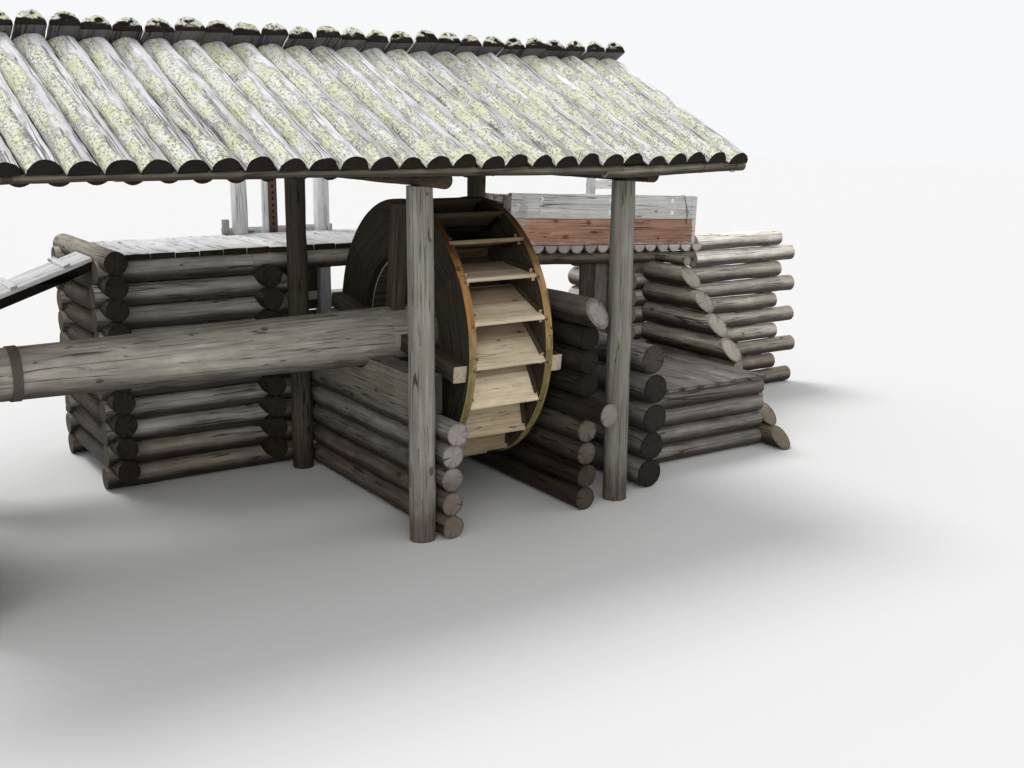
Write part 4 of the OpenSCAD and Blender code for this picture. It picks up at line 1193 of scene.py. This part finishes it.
@dataclass
class SluiceGate:
    """Gate posts, rail, leaf, stem and rack, and the far gate frame."""

    x: float = -0.33
    y: float = 2.2566
    span: float = 0.78
    post: float = 0.11
    top: float = 2.56
    crib_top: float = 1.7636
    play: float = 0.0018
    leaf_boards: int = 4
    stem_x: float = -0.448
    stem_half: float = 0.065
    stem_front: float = 0.04
    leaf_y: float = 0.008
    far_posts: tuple[Pair, Pair] = ((3.055, 1.4692), (3.56, 0.0))
    far_rail: tuple[Point, Point] = ((3.1294, 2.162, 2.102), (3.5596, 2.212, 2.192))
    nail_x: Pair = (-0.652, -0.631)

    def build(self) -> None:
        """Builds the fixed frame and the moving gate."""
        self.build_frame()
        self.build_gate()
        blocks, nails = meshes(36, 2)
        base = self.crib_top
        blocks.add(board((-0.664, 2.206, base + 0.052), (-0.605, 2.25, 1.856), 0, rough=0.002))
        blocks.add(board((-0.875, 2.235, base + 0.003), (-0.822, 2.29, 1.935), 2, rough=0.002, shade=0.5))
        for x in self.nail_x:
            nails.wire([(x, 2.2058, 1.83), (x, 2.203, 1.83)], 0.006)
        blocks.finish("gate_blocks", "silver_wood")
        nails.finish("gate_block_nails", "rusty_iron")

    def build_frame(self) -> None:
        """Builds what stands still."""
        (posts, rail), side = meshes(30, 2), TimberMesh(34)
        h, reach = self.post / 2, self.span / 2
        for way in (-1, 1):
            x = self.x + way * reach
            posts.add(board((x - h, self.y - h, 0), (x + h, self.y + h, self.top), 2, rough=0.002))
        rail.add(board(
            (self.x - reach - 0.13, self.y + h, self.crib_top + 0.002),
            (self.x + reach + 0.13, self.y + h + 0.055, self.crib_top + 0.097), 0))
        for x, z in self.far_posts:
            side.add(board((x, 2.15, z), (x + 0.074, 2.224, 2.33), 2))
        side.add(board(*self.far_rail, 0))
        posts.finish("gate_post_timbers", "silver_wood", "gate_posts")
        rail.finish("gate_low_rail", "silver_wood", "gate_rail")
        side.finish("far_gate_frame", "silver_wood", "side_frame")

    def build_gate(self) -> None:
        """Builds what slides: leaf, stem with its ledges, and a sheet of painted shade behind the rack's holes."""
        (leaf, stem), shade_sheet = meshes(32, 2), TimberMesh(35)
        wide = self.span - self.post - self.play
        left, step = self.x - wide / 2, wide / self.leaf_boards
        face, base = self.y + self.leaf_y, self.crib_top
        for i in range(self.leaf_boards):
            x0, x1 = left + i * step + 0.0005, left + (i + 1) * step - 0.0005
            leaf.add(board((x0, face, base - 0.67), (x1, face + 0.039, base - 0.09), 2))
        a, b = self.stem_x - self.stem_half, self.stem_x + self.stem_half
        stem.add(board((a, self.y - self.stem_front, base - 0.61), (b, face, self.top - 0.06), 2))
        for z in (base - 0.59, base - 0.19):
            for x0, x1 in ((left + 0.02, a - 0.001), (b + 0.001, left + wide - 0.02)):
                stem.add(board((x0, self.y - 0.03, z), (x1, face, z + 0.08), 0))
        leaf.finish("gate_leaf_boards", "wet_wood", "gate_leaf", body="gate")
        stem.finish("gate_stem_timber", "silver_wood", "gate_stem", body="gate")
        Finishes.dress("gate_rack")
        low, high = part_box("gate_rack")
        # A thin dark sheet behind the rack: painted shade that makes its holes look dark.
        shade_sheet.add(board(
            (low.x + 0.004, high.y + 0.0001, low.z + 0.01), (high.x - 0.004, high.y + 0.0014, high.z - 0.01),
            2, rough=0.0, shade=0.06))
        shade_sheet.finish("gate_rack_painted_shade", "shade_wood", body="gate")


@dataclass
class PitWorks:
    """Log walls on both sides of the wheel and at the far end, and their bearers."""

    pit_x: float = -0.5526
    pit_r: float = 0.084
    pit_logs: int = 5
    pier_x: float = 0.59
    pier_r: float = 0.086
    pier_logs: int = 8
    pier_y1: float = 2.2905
    long_log: int = 4
    top_r: float = 0.105
    top_z: float = 1.4842
    top_y: Pair = (-1.2, 1.535)
    top_cut: Pair = (-0.21, 0.716)
    far_x: float = -3.55

    def build(self) -> None:
        """Builds the walls."""
        pit, pier, far = meshes(40, 3)
        for k in range(self.pit_logs):
            z = stack_z(k, self.pit_r)
            start = -1.12 - (0.06 if k == self.pit_logs - 1 else 0) + 0.015 * vary(k, 2)
            pit.add(log_y(start, 1.08, self.pit_x, z, self.pit_r, rough=0.005))
            far.add(log_y(-0.8 + 0.02 * vary(k, 2), 0.8, self.far_x, z, self.pit_r, rough=0.005))
        for k in range(self.pier_logs):
            upper, longer = k >= self.long_log, k == self.long_log
            # The pier logs are painted dark, the upper ones and their ends nearly black: painted shade beside the
            # wheel; the long log's end stays pale.
            pier.add(log_y(
                (-1.39 if longer else -1.12) + 0.02 * vary(k, 3), self.pier_y1, self.pier_x,
                stack_z(k, self.pier_r), self.pier_r, rough=0.005, shade=0.13 if upper else 0.3,
                end_shade=0.8 if longer else 0.05 if upper else 0.4))
        ends = [(self.pier_x, y, self.top_z) for y in self.top_y]
        pier.add(Timber(
            *ends, round_section(26), (self.top_r * 0.98,) * 2, stations=30, rough=0.006, cut_start=self.top_cut,
            ragged=0.006, shade=0.6))
        pit.finish("pit_wall_logs", "pit_wood", "pit_wall")
        pier.finish("pier_wall_logs", "pit_wood", "pier_wall")
        far.finish("far_wall_logs", "pit_wood", "far_wall")
        Finishes.dress("bearer_near", "bearer_far", "bearing_right", "bearing_far")


@dataclass
class Spillway:
    """Spillway walls, floor and sills, and the wing wall with the crest logs.

    The wing's logs end on one slope through cut_at, apart from the low log; crest_starts gives the crest logs'
    left ends by the first log that they hold for.
    """

    wall_x: float = 1.34
    wall_r: float = 0.114
    wall_logs: int = 5
    wall_y1: float = 2.2905
    floor_boards: int = 8
    floor_y0: float = -0.56
    floor_t: float = 0.03
    sill_r: float = 0.077
    sill_logs: int = 4
    sill_y: Triple = (-0.47, 0.9, 2.31)
    wing_x: float = 3.07
    wing_radii: tuple[float, ...] = (0.091, 0.091, 0.091, 0.06, 0.1, 0.1, 0.1, 0.1)
    wing_front: float = -0.9
    low_log: int = 3
    low_start: float = -0.116
    cut_at: Pair = (0.18, 0.972)
    cut_slope: float = math.radians(45.5)
    cap_y: Pair = (0.629, 1.045)
    cap_z: float = 1.5132
    cap_r: float = 0.044
    crest_r: float = 0.084
    crest_logs: int = 10
    crest_starts: tuple[Pair, Pair, Pair] = ((8, 3.68), (4, 2.90), (0, 2.979))
    dam_y: float = 1.235
    rear_y: float = 2.4

    def build(self) -> None:
        """Builds the spillway."""
        self.build_floor()
        self.build_wing()

    def build_floor(self) -> None:
        """Builds the left wall and the floor on its sills."""
        wall, floor, sills = meshes(50, 3)
        for k in range(self.wall_logs):
            bright = k == self.wall_logs - 1
            wall.add(log_y(
                -0.97 + 0.025 * vary(k, 4), self.wall_y1, self.wall_x, stack_z(k, self.wall_r), self.wall_r,
                rough=0.006, ragged=0.003, shade=1.8 if bright else 1.2, end_shade=0.4 if bright else 0.12))
        x0 = self.wall_x + self.wall_r + GAP
        step = (self.wing_x - 0.1 - GAP - x0) / self.floor_boards
        z = stack_z(self.sill_logs - 1, self.sill_r) + self.sill_r + GAP
        for i in range(self.floor_boards):
            floor.add(board(
                (x0 + i * step + 0.0005, self.floor_y0 + 0.012 * vary(i, 8), z),
                (x0 + (i + 1) * step - 0.0005, self.rear_y, z + self.floor_t), 1, rough=0.003))
        for y in self.sill_y:
            for k in range(self.sill_logs):
                sills.add(log_x(x0, self.wing_x - 0.0914, y, stack_z(k, self.sill_r), self.sill_r))
        wall.finish("spillway_wall_logs", "wet_wood", "spill_wall")
        floor.finish("spillway_floor_boards", "wet_wood", "spill_floor")
        sills.finish("spillway_sill_logs", "wet_wood", "spill_sills")

    def build_wing(self) -> None:
        """Builds the wing wall, the pole on it and the crest logs."""
        wing, cap, crest, low = meshes(53, 4)
        for k, r in enumerate(self.wing_radii):
            z = pile_z(self.wing_radii, k)
            wing.add(log_y(self.dam_y + self.crest_r + GAP, self.rear_y, self.wing_x, z, r))
            lowest = k == self.low_log
            lean = 1 / math.tan(self.cut_slope)
            start = self.low_start if lowest else self.cut_at[0] + (z - self.cut_at[1]) * lean
            sloped = start > self.wing_front and not lowest
            (low if lowest else wing).add(log_y(
                max(start, self.wing_front), self.dam_y - self.crest_r - GAP, self.wing_x, z, r, rough=0.005,
                cut_start=(0, lean if sloped else 0), ragged=0.003, shade=0.9 if lowest else 0.6))
        cap.add(log_y(*self.cap_y, self.wing_x, self.cap_z, self.cap_r))
        for k in range(self.crest_logs):
            top, start = next((i, x) for i, x in self.crest_starts if k >= i)
            crest.add(log_x(
                start, 5.15 - 0.26 * (k % 2) + 0.06 * vary(k, 2), self.dam_y, stack_z(k, self.crest_r),
                self.crest_r, rough=0.005, shade=1.45 if top == self.crest_starts[0][0] else 0.8))
        wing.finish("wing_wall_logs", "crib_wood", "wing_wall")
        low.finish("wing_low_log", "shade_wood", "wing_wall")
        cap.finish("wing_top_pole", "pole_wood", "wing_cap")
        crest.finish("crest_wall_logs", "crib_wood", "crest_logs")


@dataclass
class Trough:
    """Plank trough on half logs, with its bearers and boards.

    Wire_path is the outline of the wire over the front plank: along it and down from its top.
    """

    x0: float = 1.36
    x1: float = 3.58
    y: float = 1.10
    width: float = 0.62
    z: float = 1.70
    tilt: float = math.radians(2.4)
    planks: Pair = (0.245, 0.228)
    rear_lower: float = 0.035
    thick: float = 0.052
    floor_r: float = 0.072
    bearer_r: float = 0.056
    bearer_in: float = 0.075
    post_x: float = 1.38
    post_z: Pair = (1.06, 1.56)
    end_at: float = 0.028
    bulkhead_x: float = 2.275
    bulkhead_step: float = 0.165
    bulkhead_looks: tuple[Pair, Pair, Pair] = ((0.2, 0.45), (0.9, 0.9), (0.35, 0.6))
    wire_x: float = 2.045
    wire_r: float = 0.0022
    wire_path: tuple[Pair, ...] = (
        (0, 0.01), (0.004, 0.03), (0.03, 0.09), (0.036, 0.15), (0.05, 0.2), (0.034, 0.25),
        (0.055, 0.275), (0.045, 0.225), (0.06, 0.16), (0.022, 0.07), (0, 0.01))

    def at(self, x: float, y: float, z: float) -> Point:
        """Place in the trough's own frame: x along it, z = 0 on the floor logs."""
        c, k = math.cos(self.tilt), math.sin(self.tilt)
        return (self.x0 + x * c + z * k, y, self.z - x * k + z * c)

    def build(self) -> None:
        """Builds the trough."""
        upper, lower, floor, bearers, end, posts, boards, loop = meshes(60, 8)
        up = (math.sin(self.tilt), 0, math.cos(self.tilt))
        length, rear, middle = self.x1 - self.x0, self.y + self.width, self.y + self.width / 2
        for j, y in enumerate((self.y + self.thick / 2, rear - self.thick / 2)):
            for i, mesh in enumerate((lower, upper)):
                z0 = i * self.planks[0] + 0.002
                z1 = self.planks[0] + i * (self.planks[1] - self.rear_lower * j) - 0.001
                ends = [self.at(x, y, (z0 + z1) / 2) for x in (0, length)]
                # fade paints light on the planks' left ends, which lie in the roof's shadow.
                mesh.add(plank(
                    *ends, z1 - z0, self.thick - 0.001, (0, 1, 0), 28, rough=0.002, lump=0.16, pith=PLANK_PITH,
                    fade=0.75 if i else 1.3))
        step = 2 * self.floor_r + 0.006
        for i in range(int(length / step) + 2):
            x = length + 0.015 - i * step
            floor.add(Timber(
                self.at(x, self.y - 0.035 + 0.012 * vary(i, 3), 0), self.at(x, rear + 0.03, 0), half_section(False),
                (self.floor_r * (0.97 + 0.03 * vary(i, 5)),) * 2, up, 12, 0.004, 0.07, ragged=0.002))
        z = -self.floor_r - self.bearer_r - GAP
        for y in (self.y + self.bearer_in, rear - self.bearer_in):
            bearers.add(Timber(
                self.at(-0.06, y, z), self.at(length + 0.04, y, z), round_section(),
                (self.bearer_r * 0.985, self.bearer_r * 0.975), up, 26, rough=0.004))
            posts.add(upright(self.post_x, y, *self.post_z, (0.057, 0.056), 6))
        ends = [self.at(self.end_at, middle, z) for z in (0.001, sum(self.planks) - 0.026)]
        # The end board is painted darker: painted shade.
        end.add(plank(
            *ends, self.width - 2 * self.thick - 0.002, 0.039, (1, 0, 0), 8, rough=0.0015, pith=PLANK_PITH,
            shade=0.35))
        for i, (tone, shade) in enumerate(self.bulkhead_looks):
            x = self.bulkhead_x + i * self.bulkhead_step
            boards.add(board((x, 1.233, 0.6726), (x + 0.155, 1.273, 1.562), 2, tone=tone, shade=shade))
        self.add_wire(loop)
        lower.finish("trough_lower_planks", "red_wood", "trough_sides")
        upper.finish("trough_upper_planks", "trough_wood", "trough_sides")
        floor.finish("trough_floor_logs", "trough_floor_wood", "trough_floor")
        bearers.finish("trough_bearer_logs", "pole_wood", "trough_bearers")
        end.finish("trough_end_board", "red_wood", "trough_end")
        posts.finish("trough_post_logs", "crib_wood", "trough_posts")
        boards.finish("bulkhead_boards", "pit_wood", "bulkhead")
        Finishes.dress("trough_bolts")
        loop.finish("trough_wire_loop", "rusty_iron")

    def add_wire(self, loop: TimberMesh) -> None:
        """Adds the loop of wire and its end over the plank's top."""
        x, top, front = self.wire_x, sum(self.planks), self.y - 0.006
        outline = enumerate(self.wire_path)
        loop.wire([self.at(x + a, front - 0.004 * (i % 2), top - b) for i, (a, b) in outline], self.wire_r)
        back = (x + 0.005, self.y + self.thick + 0.003, top + 0.004)
        ends = ((x, front, top - 0.01), (x, self.y - 0.002, top + 0.004), back)
        loop.wire([self.at(*p) for p in ends], self.wire_r)


@dataclass
class WheelBody:
    """Shaft, arms, rims, floats and the small timbers of the wheel.

    Angles are in degrees up from the front horizontal. The wet_and_shade table gives the lightness of the floats
    between two angles, where water and painted shade keep them dark; the others keep the lightness dry.
    """

    radius: float = 1.0
    half: float = 0.35
    axis_z: float = 1.242
    ring_in: float = 0.585
    rim_t: float = 0.06
    segments: int = 10
    butt: float = 0.62
    buckets: int = 20
    phase: float = -6.1
    arm_phase: float = -7.9
    float_in: float = 0.690
    sweep: float = 22.5
    float_t: float = 0.028
    float_seam: float = 0.0008
    lip_in: float = 0.006
    ear: float = 0.026
    ear_deep: float = 0.042
    cleats: tuple[Triple, Triple] = ((1, 0.045, 0.38), (-1, 0.01, 0.23))
    arm_t: float = 0.105
    arm_w: float = 0.12
    arm_reach: float = 0.972
    shaft_r: float = 0.212
    shaft_far_r: float = 0.163
    shaft_x0: float = -3.42
    shaft_seam: float = -0.5
    # Lightness of the floats by angle: water, and painted shade where the roof's shadow falls on the top of the wheel.
    wet_and_shade: tuple[Triple, Triple, Triple] = ((40, 48, 0.42), (48, 250, 0.12), (250, 325, 0.7))
    dry: float = 1.1
    float_pith: Pair = (0.03, 0.06)

    @property
    def inner(self) -> float:
        """Where the rims' inner faces are."""
        return self.half - self.rim_t

    @property
    def slant(self) -> Pair:
        """How far a float runs inward and upward from its lip."""
        sweep = math.radians(self.sweep)
        return self.radius - self.float_in * math.cos(sweep), self.float_in * math.sin(sweep)

    def at(self, x: float, radius: float, angle: float, off: float = 0.0) -> Point:
        """Place at a radius and an angle; off is square to the radius, upward."""
        a = math.radians(angle)
        return (x, -radius * math.cos(a) + off * math.sin(a), self.axis_z + radius * math.sin(a) + off * math.cos(a))

    def outward(self, angle: float) -> Point:
        """Direction out along the radius at an angle."""
        a = math.radians(angle)
        return (0, -math.cos(a), math.sin(a))

    def offsets(self, y: float, z: float) -> Pair:
        """Radius and offset of a point of a float: y inward from its lip, z square to it."""
        lean = math.atan2(*self.slant[::-1])
        c, k = math.cos(lean), math.sin(lean)
        return self.radius - self.lip_in - (y * c - z * k), y * k + z * c

    def on_float(self, x: float, y: float, z: float, angle: float) -> Point:
        """Place of a point of the float at an angle."""
        radius, off = self.offsets(y, z)
        return self.at(x, radius, angle, off)

    def build(self) -> None:
        """Builds the wheel."""
        self.build_shaft()
        self.build_rims()
        self.build_boards()
        Finishes.dress("gudgeons")
        Finishes.dress("shaft_bands", finish="dark_iron")

    def build_shaft(self) -> None:
        """Builds the shaft log, tapering to the far end, and the arms."""
        shaft, arms = meshes(70, 2)
        far, seam, near, end = (
            (x, 0, self.axis_z)
            for x in (self.shaft_x0, self.shaft_seam, self.shaft_seam - 0.002, self.half + self.arm_t + 0.014))
        radii, thick = (self.shaft_far_r, self.shaft_r), (self.shaft_r - 0.0005,) * 2
        shaft.add(Timber(far, seam, round_section(40), radii, stations=60, lump=0.2))
        shaft.add(Timber(near, end, round_section(40), thick, stations=14, rough=0.0015, lump=0.2))
        for side in (-1, 1):
            for turn in (0, 90):
                a = self.arm_phase + turn
                ends = [self.at(side * (self.half + self.arm_t / 2), r, a) for r in (-self.arm_reach, self.arm_reach)]
                arms.add(plank(
                    *ends, self.arm_t - 0.001, self.arm_w - 0.001, self.outward(a + 90), 24, 0.005, rough=0.002,
                    pith=(0.01, 0.02)))
        shaft.finish("shaft_log", "shaft_wood", "shaft", body="wheel")
        arms.finish("wheel_arms", "wheel_dark_wood", "arms", body="wheel")

    def build_rims(self) -> None:
        """Builds the rim planks, notched at the edge for the ears of the lip boards."""
        piece, pitch = 360 / self.segments, 360 / self.buckets
        lips = [self.phase + k * pitch for k in range(-2, self.buckets + 3)]
        rims = RimMesh(self, 72)
        for side in (-1, 1):
            for i in range(self.segments):
                mid = self.phase + (i + self.butt) * piece
                rims.add(side, mid, piece, [a for a in lips if abs(a - mid) < piece / 2])
        rims.finish("wheel_rims", "wheel_rim_wood", "shrouds", body="wheel")

    def build_boards(self) -> None:
        """Builds floats with their ears, risers, sole boards and cleats."""
        floats, risers, soles, cleats, ears = meshes(73, 5)
        for i in range(self.buckets):
            a = self.phase + i * 360 / self.buckets
            # The float's lightness, which holds water and painted shade.
            light = next((k for low, high, k in self.wet_and_shade if low < a <= high), self.dry)
            self.add_float(floats, ears, cleats, i, a, light)
            r0, r1 = self.ring_in + 0.014, self.float_in - 0.004
            ends = [self.at(x, (r0 + r1) / 2, a + self.sweep, 0.003) for x in (-self.inner, self.inner)]
            # Risers take the float's lightness, painted shade at the top, and are darker still.
            risers.add(plank(
                *ends, self.float_t - 0.007, r1 - r0, self.outward(a + self.sweep), 10, rough=0.0015,
                pith=(0.05, 0.02), shade=light * 0.6))
        half = (self.ring_in - 0.014) * math.tan(math.radians(90 / self.buckets)) - 0.0003
        for i in range(2 * self.buckets):
            a = self.phase + (i + 0.5) * 180 / self.buckets
            ends = [self.at(x, self.ring_in - 0.0005, a) for x in (-self.inner, self.inner)]
            soles.add(plank(*ends, 2 * half, 0.024, self.outward(a), 10, rough=0.0015))
        floats.finish("wheel_floats", "wheel_board_wood", "floats", body="wheel")
        ears.finish("wheel_lip_ears", "red_wood", "floats", body="wheel")
        risers.finish("wheel_risers", "wheel_board_wood", "risers", body="wheel")
        soles.finish("wheel_sole_boards", "wheel_dark_wood", "sole_boards", body="wheel")
        cleats.finish("wheel_cleats", "wheel_board_wood", "cleats", body="wheel")

    def add_float(
        self, floats: TimberMesh, ears: TimberMesh, cleats: TimberMesh, i: int, a: float, light: float
    ) -> None:
        """Adds one float of two boards with its ears, and the cleats above and below it.

        Args:
            floats: Mesh of the boards.
            ears: Mesh of the ears, which are let into the rims.
            cleats: Mesh of the cleats.
            i: Number of the float.
            a: Its angle.
            light: Its lightness, which holds water and painted shade.
        """
        length, inner = math.hypot(*self.slant), self.inner
        up = tuple(np.subtract(self.on_float(0, 0, 1, a), self.on_float(0, 0, 0, a)))
        tone = 0.5 + 0.5 * vary(i, 31)
        middle = length / 2 + self.float_seam
        # The back board is painted darker than the lip board: painted shade from the rim and the riser.
        for y0, y1, share in ((-0.004, length / 2 - self.float_seam, 1.0), (middle, length - 0.012, 0.42)):
            ends = [self.on_float(x, (y0 + y1) / 2, 0, a) for x in (-inner, inner)]
            floats.add(plank(
                *ends, y1 - y0, self.float_t - 0.001, up, 16, rough=0.0025, lump=0.1, pith=self.float_pith,
                tone=float(np.clip(tone + 0.15 * vary(i, y0 * 50), 0, 1)), shade=light * share, end_shade=light))
        for side in (-1, 1):
            reach = inner + self.ear + 0.004 * vary(i, 40 + side)
            ends = [self.on_float(side * x, self.ear_deep / 2 - 0.003, 0, a) for x in (inner - 0.002, reach)]
            # The ears follow the float's painted shade.
            shade = 0.3 if light < 0.2 else 0.9
            ears.add(plank(
                *ends, self.ear_deep, self.float_t - 0.002, up, 2, rough=0.001, tone=tone, pith=self.float_pith,
                shade=shade, end_shade=shade))
            # The cleats are painted nearly black with lighter ends: painted shade along the rims.
            for way, y0, y1 in self.cleats:
                z = way * (self.float_t / 2 + 0.0142)
                ends = [self.on_float(side * (inner - 0.014), y, z, a) for y in (y0, y1)]
                cleats.add(plank(
                    *ends, 0.027, 0.0268, up, 6, rough=0.001, tone=0.5 + 0.5 * vary(i, 20 + way + side),
                    shade=light * 0.1, end_shade=light * 0.9))


class RimMesh(TimberMesh):
    """Collects the plank segments of both rims."""

    edge_deep: ClassVar[float] = 0.09
    waver: ClassVar[Pair] = (0.0012, 0.001)
    ear_play: ClassVar[float] = 0.0008

    def __init__(self, wheel: WheelBody, seed: int) -> None:
        """Keeps the wheel's sizes."""
        super().__init__(seed)
        self.wheel = wheel

    def add(self, side: int, mid: float, piece: float, notches: list[float]) -> None:
        """Adds one segment: an outer layer and an inner layer with the notches.

        Args:
            side: -1 for the left rim, 1 for the right.
            mid: Middle angle of the segment.
            piece: Angle that it spans.
            notches: Angles of the lip boards in its edge.
        """
        w = self.wheel
        tone, shift = float(self.chance.random()), float(self.chance.random() * 8)
        steps = np.linspace(mid - piece / 2 + 0.05, mid + piece / 2 - 0.05, 26)

        def edge(radius: float, waver: float, row: float) -> list[Pair]:
            """Radius and angle along one edge of the segment."""
            return [(radius + waver * float(swell(np.array([a * 0.4, side, row]), 1.0)), a) for a in steps]

        rim, back = edge(w.radius, self.waver[0], 0.5), edge(w.ring_in, self.waver[1], 7.5)[::-1]
        cut, t = list(rim), w.float_t / 2 + self.ear_play
        for n in notches:
            corners = []
            for y, z in ((-0.02, -t), (w.ear_deep, -t), (w.ear_deep, t), (-0.02, t)):
                radius, off = w.offsets(y, z)
                angle = n + math.degrees(math.atan2(off, radius))
                corners.append((w.radius if y < 0 else math.hypot(radius, off), angle))
            before = [p for p in cut if p[1] < corners[0][1]]
            after = [p for p in cut if p[1] > corners[3][1]]
            if before and after:
                cut = before + corners + after
        seam = side * (w.inner + w.ear)
        self.plate(cut + back, (side * w.inner, seam), mid, tone, shift)
        self.plate(rim + back, (seam, side * w.half), mid, tone, shift)

    def plate(self, outline: list[Pair], faces: Pair, mid: float, tone: float, shift: float) -> None:
        """Adds a flat plate with the given outline.

        Args:
            outline: Radius and angle of each corner.
            faces: Where its two faces are.
            mid: Middle angle, the grain runs square to it.
            tone: Light or dark.
            shift: Place in the grain.
        """
        n, rad = len(outline), np.array([p[0] for p in outline])
        ang = np.radians([p[1] for p in outline])
        rel = ang - math.radians(mid)
        y, z = -rad * np.cos(ang), self.wheel.axis_z + rad * np.sin(ang)
        places = np.stack([np.stack([np.full(n, x), y, z], 1) for x in faces])
        along, across = rad * np.sin(rel) + shift, rad * np.cos(rel)
        grain = np.stack([np.stack([along, across, np.full(n, x)], 1) for x in faces])
        flip = faces[0] > faces[1]
        for j in (0, 1):
            first = self.put(places[j], grain[j], tone, 0.0)
            order = range(first, first + n)
            self.faces.append(tuple(reversed(order) if flip == (j == 0) else order))
        outer = rad > self.wheel.radius - self.edge_deep
        for i in range(n):
            k = (i + 1) % n
            rows, corners = [0, 0, 1, 1], [i, k, k, i]
            first = self.put(places[rows, corners], grain[rows, corners], tone, float(outer[i] and outer[k]))
            quad = (first, first + 1, first + 2, first + 3)
            self.faces.append(quad if flip else quad[::-1])

    def finish(self, name: str, slot: str, *nodes: str, body: str = "plant") -> bpy.types.Object:
        """Makes the rims as one flat-shaded piece."""
        piece = super().finish(name, slot, *nodes, body=body)
        mesh = bmesh.new()
        mesh.from_mesh(piece.data)
        bmesh.ops.recalc_face_normals(mesh, faces=mesh.faces)
        mesh.to_mesh(piece.data)
        mesh.free()
        piece.data.shade_flat()
        return piece


@dataclass
class Studio:
    """Camera at the photo's angle, soft light and a pale floor."""

    place: Point = (-4.455, -7.691, 2.85)
    yaw: float = math.radians(56.333)
    pitch: float = math.radians(12.93)
    roll: float = math.radians(-0.542)
    lens: float = 41.19
    sky: tuple[float, ...] = (0.93, 0.94, 0.95, 1)
    sky_light: float = 0.64
    floor_half: float = 60.0
    floor_z: float = -0.002
    floor_colour: tuple[float, ...] = (0.80, 0.80, 0.79, 1)

    def build(self) -> None:
        """Builds camera, lamps, world and floor."""
        self.camera()
        self.lamp("key", 1.7, (-29, 0, 19), 25)
        self.lamp("fill", 1.0, (76, 0, -32), 50)
        self.world()
        self.floor()
        bpy.context.scene.view_settings.view_transform = "Standard"

    def camera(self) -> None:
        """Adds the camera."""
        ahead = Vector((math.cos(self.yaw), math.sin(self.yaw), 0))
        right = Vector((math.sin(self.yaw), -math.cos(self.yaw), 0))
        view = ahead * math.cos(self.pitch) - Vector((0, 0, math.sin(self.pitch)))
        down = Vector((0, 0, -math.cos(self.pitch))) - ahead * math.sin(self.pitch)
        across = right * math.cos(self.roll) + down * math.sin(self.roll)
        upward = right * math.sin(self.roll) - down * math.cos(self.roll)
        data = bpy.data.cameras.new("camera")
        data.lens, data.sensor_width, data.clip_end = self.lens, 36.0, 200.0
        camera = bpy.data.objects.new("camera", data)
        camera.matrix_world = Matrix.Translation(self.place) @ Matrix((across, upward, -view)).transposed().to_4x4()
        bpy.context.scene.collection.objects.link(camera)
        bpy.context.scene.camera = camera

    def lamp(self, name: str, strength: float, turn: Point, soft: float) -> None:
        """Adds a sun lamp with its strength, its rotation and its own angle, both in degrees."""
        data = bpy.data.lights.new(name, "SUN")
        data.energy, data.angle = strength, math.radians(soft)
        lamp = bpy.data.objects.new(name, data)
        lamp.rotation_euler = [math.radians(a) for a in turn]
        bpy.context.scene.collection.objects.link(lamp)

    def world(self) -> None:
        """Adds the sky, plain white where it is seen and softer as light."""
        world = bpy.data.worlds.new("world")
        world.use_nodes = True
        g = Graph(world.node_tree)
        seen = g.node("LightPath").outputs
        plain = g.math("MAXIMUM", seen["Is Camera Ray"], seen["Is Glossy Ray"])
        plain = g.math("MAXIMUM", plain, seen["Is Transmission Ray"])
        strength = g.times(plain, 1 - self.sky_light, self.sky_light)
        g.fill(world.node_tree.nodes["Background"], {"Color": self.sky, "Strength": strength})
        bpy.context.scene.world = world

    def floor(self) -> None:
        """Adds the pale floor."""
        mesh = bpy.data.meshes.new("floor")
        half = self.floor_half
        corners = [(x * half, y * half, self.floor_z) for x, y in ((-1, -1), (1, -1), (1, 1), (-1, 1))]
        mesh.from_pydata(corners, [], [(0, 1, 2, 3)])
        g = Surface("floor")
        g.fill(g.shader, {"Base Color": self.floor_colour, "Roughness": 0.95})
        mesh.materials.append(g.material)
        floor = bpy.data.objects.new("floor", mesh)
        bpy.context.scene.collection.objects.link(floor)


def main() -> None:
    """Builds the plant piece by piece over the frame."""
    logging.basicConfig(level=logging.INFO, format="%(name)s %(message)s")
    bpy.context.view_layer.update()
    Studio().build()
    for part in (LogRoof(), Shelter(), DamCrib(), SluiceGate(), PitWorks(), Spillway(), Trough(), WheelBody()):
        part.build()
        LOG.info("%s done", type(part).__name__)
    bpy.context.view_layer.update()


if __name__ == "__main__":
    main()
